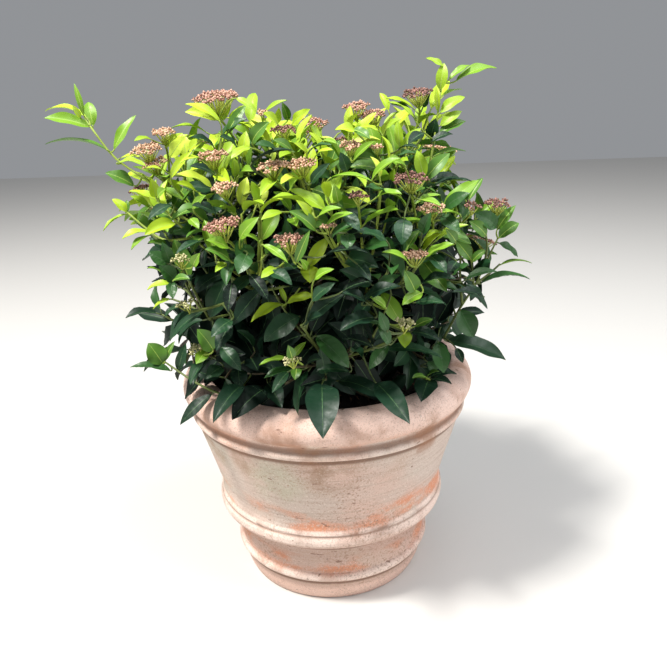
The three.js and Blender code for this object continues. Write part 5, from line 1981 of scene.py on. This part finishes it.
def add_soil_sides(points, faces):
    """The sides and the underside, just inside the pot's wall."""
    gap = WALL + SOIL_GAP
    foot = FOOT["radius"] - WALL
    outline = [(x - gap, z) for x, z in (SHOULDER, WAIST_PULL, RING_STEP)] + [
        (foot - FLOOR_ROUND, FLOOR + FLOOR_ROUND), (foot - 2 * FLOOR_ROUND, FLOOR + SOIL_GAP),
    ]
    before = (SOIL_RINGS - 1) * SOIL_SIDES
    for radius, z in outline:
        here = len(points)
        for j in range(SOIL_SIDES):
            turn = 2 * math.pi * j / SOIL_SIDES
            points.append((radius * math.cos(turn), radius * math.sin(turn), z))
        faces += ring_faces(before, here, SOIL_SIDES, inward=True)
        before = here
    faces.append(tuple(range(before, before + SOIL_SIDES))[::-1])


def soil_place(kind, random):
    """A random place on the compost for a crumb or a slip."""
    r = (SOIL_EDGE - kind["edge"]) * math.sqrt(random())
    turn = 2 * math.pi * random()
    return np.array([r * math.cos(turn), r * math.sin(turn), SOIL_TOP - soil_fall(r) + kind["rise"]])


def make_crumbs(random):
    crumbs = Heap()
    for _ in range(CRUMBS["count"]):
        place = soil_place(CRUMBS, random)
        size = CRUMBS["size"][0] + CRUMBS["size"][1] * random() ** 2
        squeeze = np.array([1, 0.7 + 0.5 * random(), 0.5 + 0.4 * random()])
        spin = np.array(Matrix.Rotation(random() * 6.3, 3, "Z"))
        crumbs.add(place + (BUD_POINTS * squeeze * size * CRUMBS["bud_share"]) @ spin, BUD_FACES)
    material = plant_material("crumbs", SOIL_COLOURS["crumbs"], ROUGHNESS["compost"])
    make_heap("compost_crumbs", crumbs, material, ["soil"])


def make_slips(random):
    slips = Heap()
    for _ in range(SLIPS["count"]):
        place = soil_place(SLIPS, random)
        way = heading(360 * random(), SLIPS["tilt"] * (random() - 0.5))
        way = way * drawn(SLIPS["half"], random)
        points = [place - way, place + way * 0.2, place + way]
        slips.add(*tube(points, (0.5, 1.2 + random(), 0.4), SLIPS["sides"]))
    material = plant_material("bark_slips", SOIL_COLOURS["bark_slips"], ROUGHNESS["bark_slip"])
    make_heap("compost_bark", slips, material, ["soil"])


def make_soil():
    points, faces = soil_surface()
    add_soil_sides(points, faces)
    material = plant_material("compost", SOIL_COLOURS["compost"], ROUGHNESS["compost"], SOIL_GRAIN)
    make_piece("compost", points, faces, material, ["soil"])
    random = seeded_random(CRUMBS["seed"])
    make_crumbs(random)
    make_slips(random)


# Trunk and boughs


def trunk_radius(share, turn):
    buttress = math.cos(TRUNK_FLARE["buttresses"] * turn + TRUNK_FLARE["turn"])
    flare = TRUNK_FLARE["radius"] * (1 - share) ** TRUNK_FLARE["falloff"]
    flare *= 1 + TRUNK_FLARE["share"] * buttress
    head = TRUNK_HEAD["radius"] * math.sin(math.pi * min(share * TRUNK_HEAD["centring"], 1)) ** 2
    knuckle = math.cos(TRUNK_KNUCKLES["count"] * turn + TRUNK_KNUCKLES["twist"] * share)
    rounding = 1 - TRUNK_ROUNDING["rate"] * max(share - TRUNK_ROUNDING["from"], 0)
    return (TRUNK_RADIUS + flare + head + TRUNK_KNUCKLES["radius"] * knuckle) * rounding


def bark_relief(x, y, z, depth):
    """Shallow cracks along the limb."""
    crack = noise.noise(Vector((x * 0.5, y * 0.5, z * 0.09)))
    return depth * (abs(crack) * 1.6 - 0.35) + 0.25 * depth * noise.noise(Vector((x, y, z)))


def make_trunk(material):
    points = []
    for i in range(TRUNK_STEPS + 1):
        share = i / TRUNK_STEPS
        x, y, z = trunk_axis(TRUNK_BASE + share * (TRUNK_TOP - TRUNK_BASE))
        for j in range(TRUNK_SIDES):
            turn = 2 * math.pi * j / TRUNK_SIDES
            r = trunk_radius(share, turn)
            if 0 < i < TRUNK_STEPS:
                r += bark_relief(r * math.cos(turn), r * math.sin(turn), z, BARK_DEPTH["trunk"])
            points.append((x + r * math.cos(turn), y + r * math.sin(turn), z))
    faces = limb_faces(TRUNK_STEPS, TRUNK_SIDES)
    make_piece("trunk_bark", points, faces, material, ["trunk"], SHARP["bark"])


def rough_bark(point, line):
    """A point of a bough moved in or out from its middle line."""
    middle = line[np.linalg.norm(line - point, axis=1).argmin()]
    return point + bark_relief(*point, BARK_DEPTH["bough"]) * unit(point - middle)


def make_boughs(masses, material):
    for tier in TIERS:
        heap = Heap()
        own = [m for m in masses if m.tier is tier]
        for mass in own:
            radii = (BOUGH_BASE_RADIUS, BOUGH_TIP_RADIUS)
            points, faces = curve_tube(mass.bough, radii, *LIMB_MESH["bough"])
            heap.add(np.array([rough_bark(p, mass.bough.points) for p in points]), faces)
        names = [f"bough_{m.name}" for m in own]
        make_heap(f"boughs_{tier['name']}", heap, material, names, SHARP["bark"])


def bark_material():
    bark = Shading("bark")
    layers = [(bark.blotches(*blotches), tint) for *blotches, tint in BARK_BLOTCHES]
    bark.colour(BARK_GROUND, layers, ROUGHNESS["bark"])
    bark.bump(*BARK_BUMP)
    return bark.material


# Camera, floor and light


def make_camera():
    data = bpy.data.cameras.new("camera")
    data.sensor_width = SENSOR
    data.lens = FOCAL_PIXELS * SENSOR / IMAGE_PIXELS
    camera = bpy.data.objects.new("camera", data)
    bpy.context.scene.collection.objects.link(camera)
    place = Matrix.Translation(Vector(CAMERA_PLACE) * MM)
    pitch = Matrix.Rotation(math.radians(90 - CAMERA_PITCH), 4, "X")
    roll = Matrix.Rotation(math.radians(-CAMERA_ROLL), 4, "Z")
    camera.matrix_world = place @ pitch @ roll
    bpy.context.scene.camera = camera


def make_stage():
    mesh = bpy.data.meshes.new("floor")
    corners = [(x * FLOOR_HALF, y * FLOOR_HALF, 0) for x, y in ((-1, -1), (1, -1), (1, 1), (-1, 1))]
    mesh.from_pydata(corners, [], [(0, 1, 2, 3)])
    floor = bpy.data.objects.new("floor", mesh)
    bpy.context.scene.collection.objects.link(floor)
    shading = Shading("pale_floor")
    shading.put(shading.shader, {"Base Color": FLOOR_COLOUR, "Roughness": ROUGHNESS["floor"]})
    mesh.materials.append(shading.material)
    world = bpy.data.worlds.new("studio")
    world.use_nodes = True
    background = world.node_tree.nodes["Background"]
    background.inputs["Color"].default_value = STUDIO_COLOUR
    background.inputs["Strength"].default_value = STUDIO_STRENGTH
    bpy.context.scene.world = world


def make_light(name, azimuth, elevation, distance, size, watts, colour):
    """A square soft light that looks at the crown."""
    data = bpy.data.lights.new(name, "AREA")
    data.size = size
    data.energy = watts
    data.color = colour
    light = bpy.data.objects.new(name, data)
    bpy.context.scene.collection.objects.link(light)
    way = Vector(heading(azimuth, elevation))
    light.location = Vector(LIGHT_TARGET) + way * distance
    light.rotation_mode = "QUATERNION"
    light.rotation_quaternion = way.to_track_quat("Z", "Y")


# Plant


def leaf_age(leaf):
    return "old" if leaf.shade in OLD_SHADES else "young"


def twig_colour(shoot):
    """Lime high up on the outside, olive lower down and on free stems, and brown in the crown."""
    end = shoot.curve.end
    share = crown_share(end) if shoot.leafy else 1
    if end[2] > LIME_TWIGS["above"] and share > LIME_TWIGS["share"]:
        return "lime"
    outside = end[2] > OLIVE_TWIGS["above"] and share > OLIVE_TWIGS["share"]
    return "olive" if outside or not shoot.leafy else "brown"


def grow_shoots(masses, stems, seen):
    """The seen shoots, then the main ones, then the finer twigs in two orders."""
    taken = [shoot.curve.end for shoot in seen]
    shoots = seen + main_shoots(masses, stems, taken)
    parents = shoots
    for order in TWIG_ORDERS:
        parents = finer_twigs(parents, order, taken)
        shoots = shoots + parents
    thin_heads(seen, shoots[len(seen):])
    return shoots


def old_limbs(masses, stems):
    """The stems and the outer halves of the boughs, which bear a few leaves too."""
    limbs = stems + [Curve(mass.bough.points[len(mass.bough.points) // 2:]) for mass in masses]
    return [Shoot(limb, STEM_RADIUS, SEEN_SEEDS["limb"] + i) for i, limb in enumerate(limbs)]


def make_room(shoots, seen, limbs, set_leaves):
    """The room that trunk, twigs, heads and seen leaves take up, and what keeps them in view."""
    room = Room(np.array(solid_low) / MM, np.array(solid_high) / MM)
    room.block_trunk()
    for i, shoot in enumerate(shoots):
        room.take_twig(shoot.curve, i + 1)
    for leaf in set_leaves:
        room.keep_in_view(leaf_surface(leaf, SAMPLE_U, SAMPLE_V))
    for leaf in set_leaves:
        room.take_leaf(leaf_surface(leaf, SAMPLE_U, SAMPLE_V), leaf.owner)
    for i, shoot in enumerate(shoots):
        if shoot.tint:
            places = head_places(shoot)
            room.take_leaf(places, Room.BLOCKED)
            if i < len(seen):
                room.keep_in_view(places)
    for i, limb in enumerate(limbs):
        room.take_twig(limb.curve, len(shoots) + i + 1)
    return room


def make_leaves(set_leaves, grown_leaves, foliage):
    """Blades by shade and ribs by age; the old leaves that the photo shows have side veins too."""
    blades = {name: Heap() for name in SHADE_NAMES}
    ribs = {age: Heap() for age in RIB_COLOURS}
    for leaf in set_leaves + grown_leaves:
        blades[leaf.shade].add(*leaf_shape(leaf))
        ribs[leaf_age(leaf)].add(*rib_shape(leaf))
    for leaf in set_leaves:
        if leaf_age(leaf) == "old":
            for points, faces in side_veins(leaf):
                ribs["old"].add(points, faces)
    for name, (colour, roughness, gloss) in LEAF_SHADES.items():
        material = plant_material(f"leaf_{name}", colour, roughness, gloss=gloss)
        make_heap(f"leaves_{name}", blades[name], material, foliage, SHARP["leaf"])
    for age, colour in RIB_COLOURS.items():
        material = plant_material(f"ribs_{age}", colour, ROUGHNESS["rib"])
        make_heap(f"ribs_{age}", ribs[age], material, foliage, SHARP["rib"])


def make_twigs(stems, shoots, foliage):
    twigs = {name: Heap() for name in TWIG_COLOURS}
    for stem in stems:
        twigs["brown"].add(*curve_tube(stem, STEM_RADIUS, *LIMB_MESH["stem"]))
    for shoot in shoots:
        if shoot.used:
            end = min(shoot.used + TWIG_END / shoot.curve.length, 1)
            limb = curve_tube(shoot.curve, shoot.radii, *LIMB_MESH["twig"], 0, end)
            twigs[twig_colour(shoot)].add(*limb)
    for name, colour in TWIG_COLOURS.items():
        material = plant_material(f"twigs_{name}", colour, ROUGHNESS["twig"])
        make_heap(f"twigs_{name}", twigs[name], material, foliage)


def make_petioles(set_leaves, grown_leaves, twig_places, foliage):
    petioles = {age: Heap() for age in PETIOLE_COLOURS}
    for leaf in set_leaves:
        stalk = leaf_stalk(leaf, twig_places)
        limb = curve_tube(stalk, LEAF_STALK["radii"], *LIMB_MESH["stalk"])
        petioles[leaf_age(leaf)].add(*limb)
    for leaf in grown_leaves:
        start = leaf.root - leaf.direction * (PETIOLE[0] + 1)
        end = leaf.root + leaf.direction * LEAF_STALK["lap"]
        petioles[leaf_age(leaf)].add(*tube([start, end], PETIOLE[1:], LIMB_MESH["stalk"][0]))
    for age, colour in PETIOLE_COLOURS.items():
        material = plant_material(f"petioles_{age}", colour, ROUGHNESS["petiole"])
        make_heap(f"petioles_{age}", petioles[age], material, foliage)


def make_heads(shoots, foliage):
    stalks = Heap()
    buds = {tint: [Heap() for _ in piles] for tint, piles in BUD_TINTS.items()}
    for shoot in shoots:
        if shoot.tint:
            add_head(shoot, stalks, buds)
    material = plant_material("bud_stalks", BUD_STALK_COLOUR, ROUGHNESS["bud_stalk"])
    make_heap("bud_stalks", stalks, material, foliage)
    for tint, piles in BUD_TINTS.items():
        for (name, colour), heap in zip(piles, buds[tint]):
            material = plant_material(name, colour, ROUGHNESS["bud"])
            make_heap(name, heap, material, foliage)


def make_plant():
    masses = plan_masses()
    stems = [stem_curve(mass) for mass in masses]
    seen = seen_shoots(stems)
    shoots = grow_shoots(masses, stems, seen)
    limbs = old_limbs(masses, stems)
    set_leaves = [seen_leaf(leaf, i) for i, leaf in enumerate(LEAVES_SEEN + CROWN_LEAVES_SEEN)]
    room = make_room(shoots, seen, limbs, set_leaves)
    grown_leaves = grow_leaves(shoots + limbs, room)
    mark_used(shoots)
    twig_places = np.vstack([stem.points for stem in stems] + [
        s.curve.points[s.curve.lengths <= s.used * s.curve.length] for s in shoots if s.used
    ])
    foliage = [f"foliage_{mass.name}" for mass in masses]
    make_leaves(set_leaves, grown_leaves, foliage)
    make_twigs(stems, shoots, foliage)
    make_petioles(set_leaves, grown_leaves, twig_places, foliage)
    make_heads(shoots, foliage)
    bark = bark_material()
    make_trunk(bark)
    make_boughs(masses, bark)


make_camera()
make_stage()
for light_name, light_values in LIGHTS.items():
    make_light(light_name, *light_values)
make_pot()
make_soil()
make_plant()

bpy.context.scene.view_settings.view_transform = "Standard"
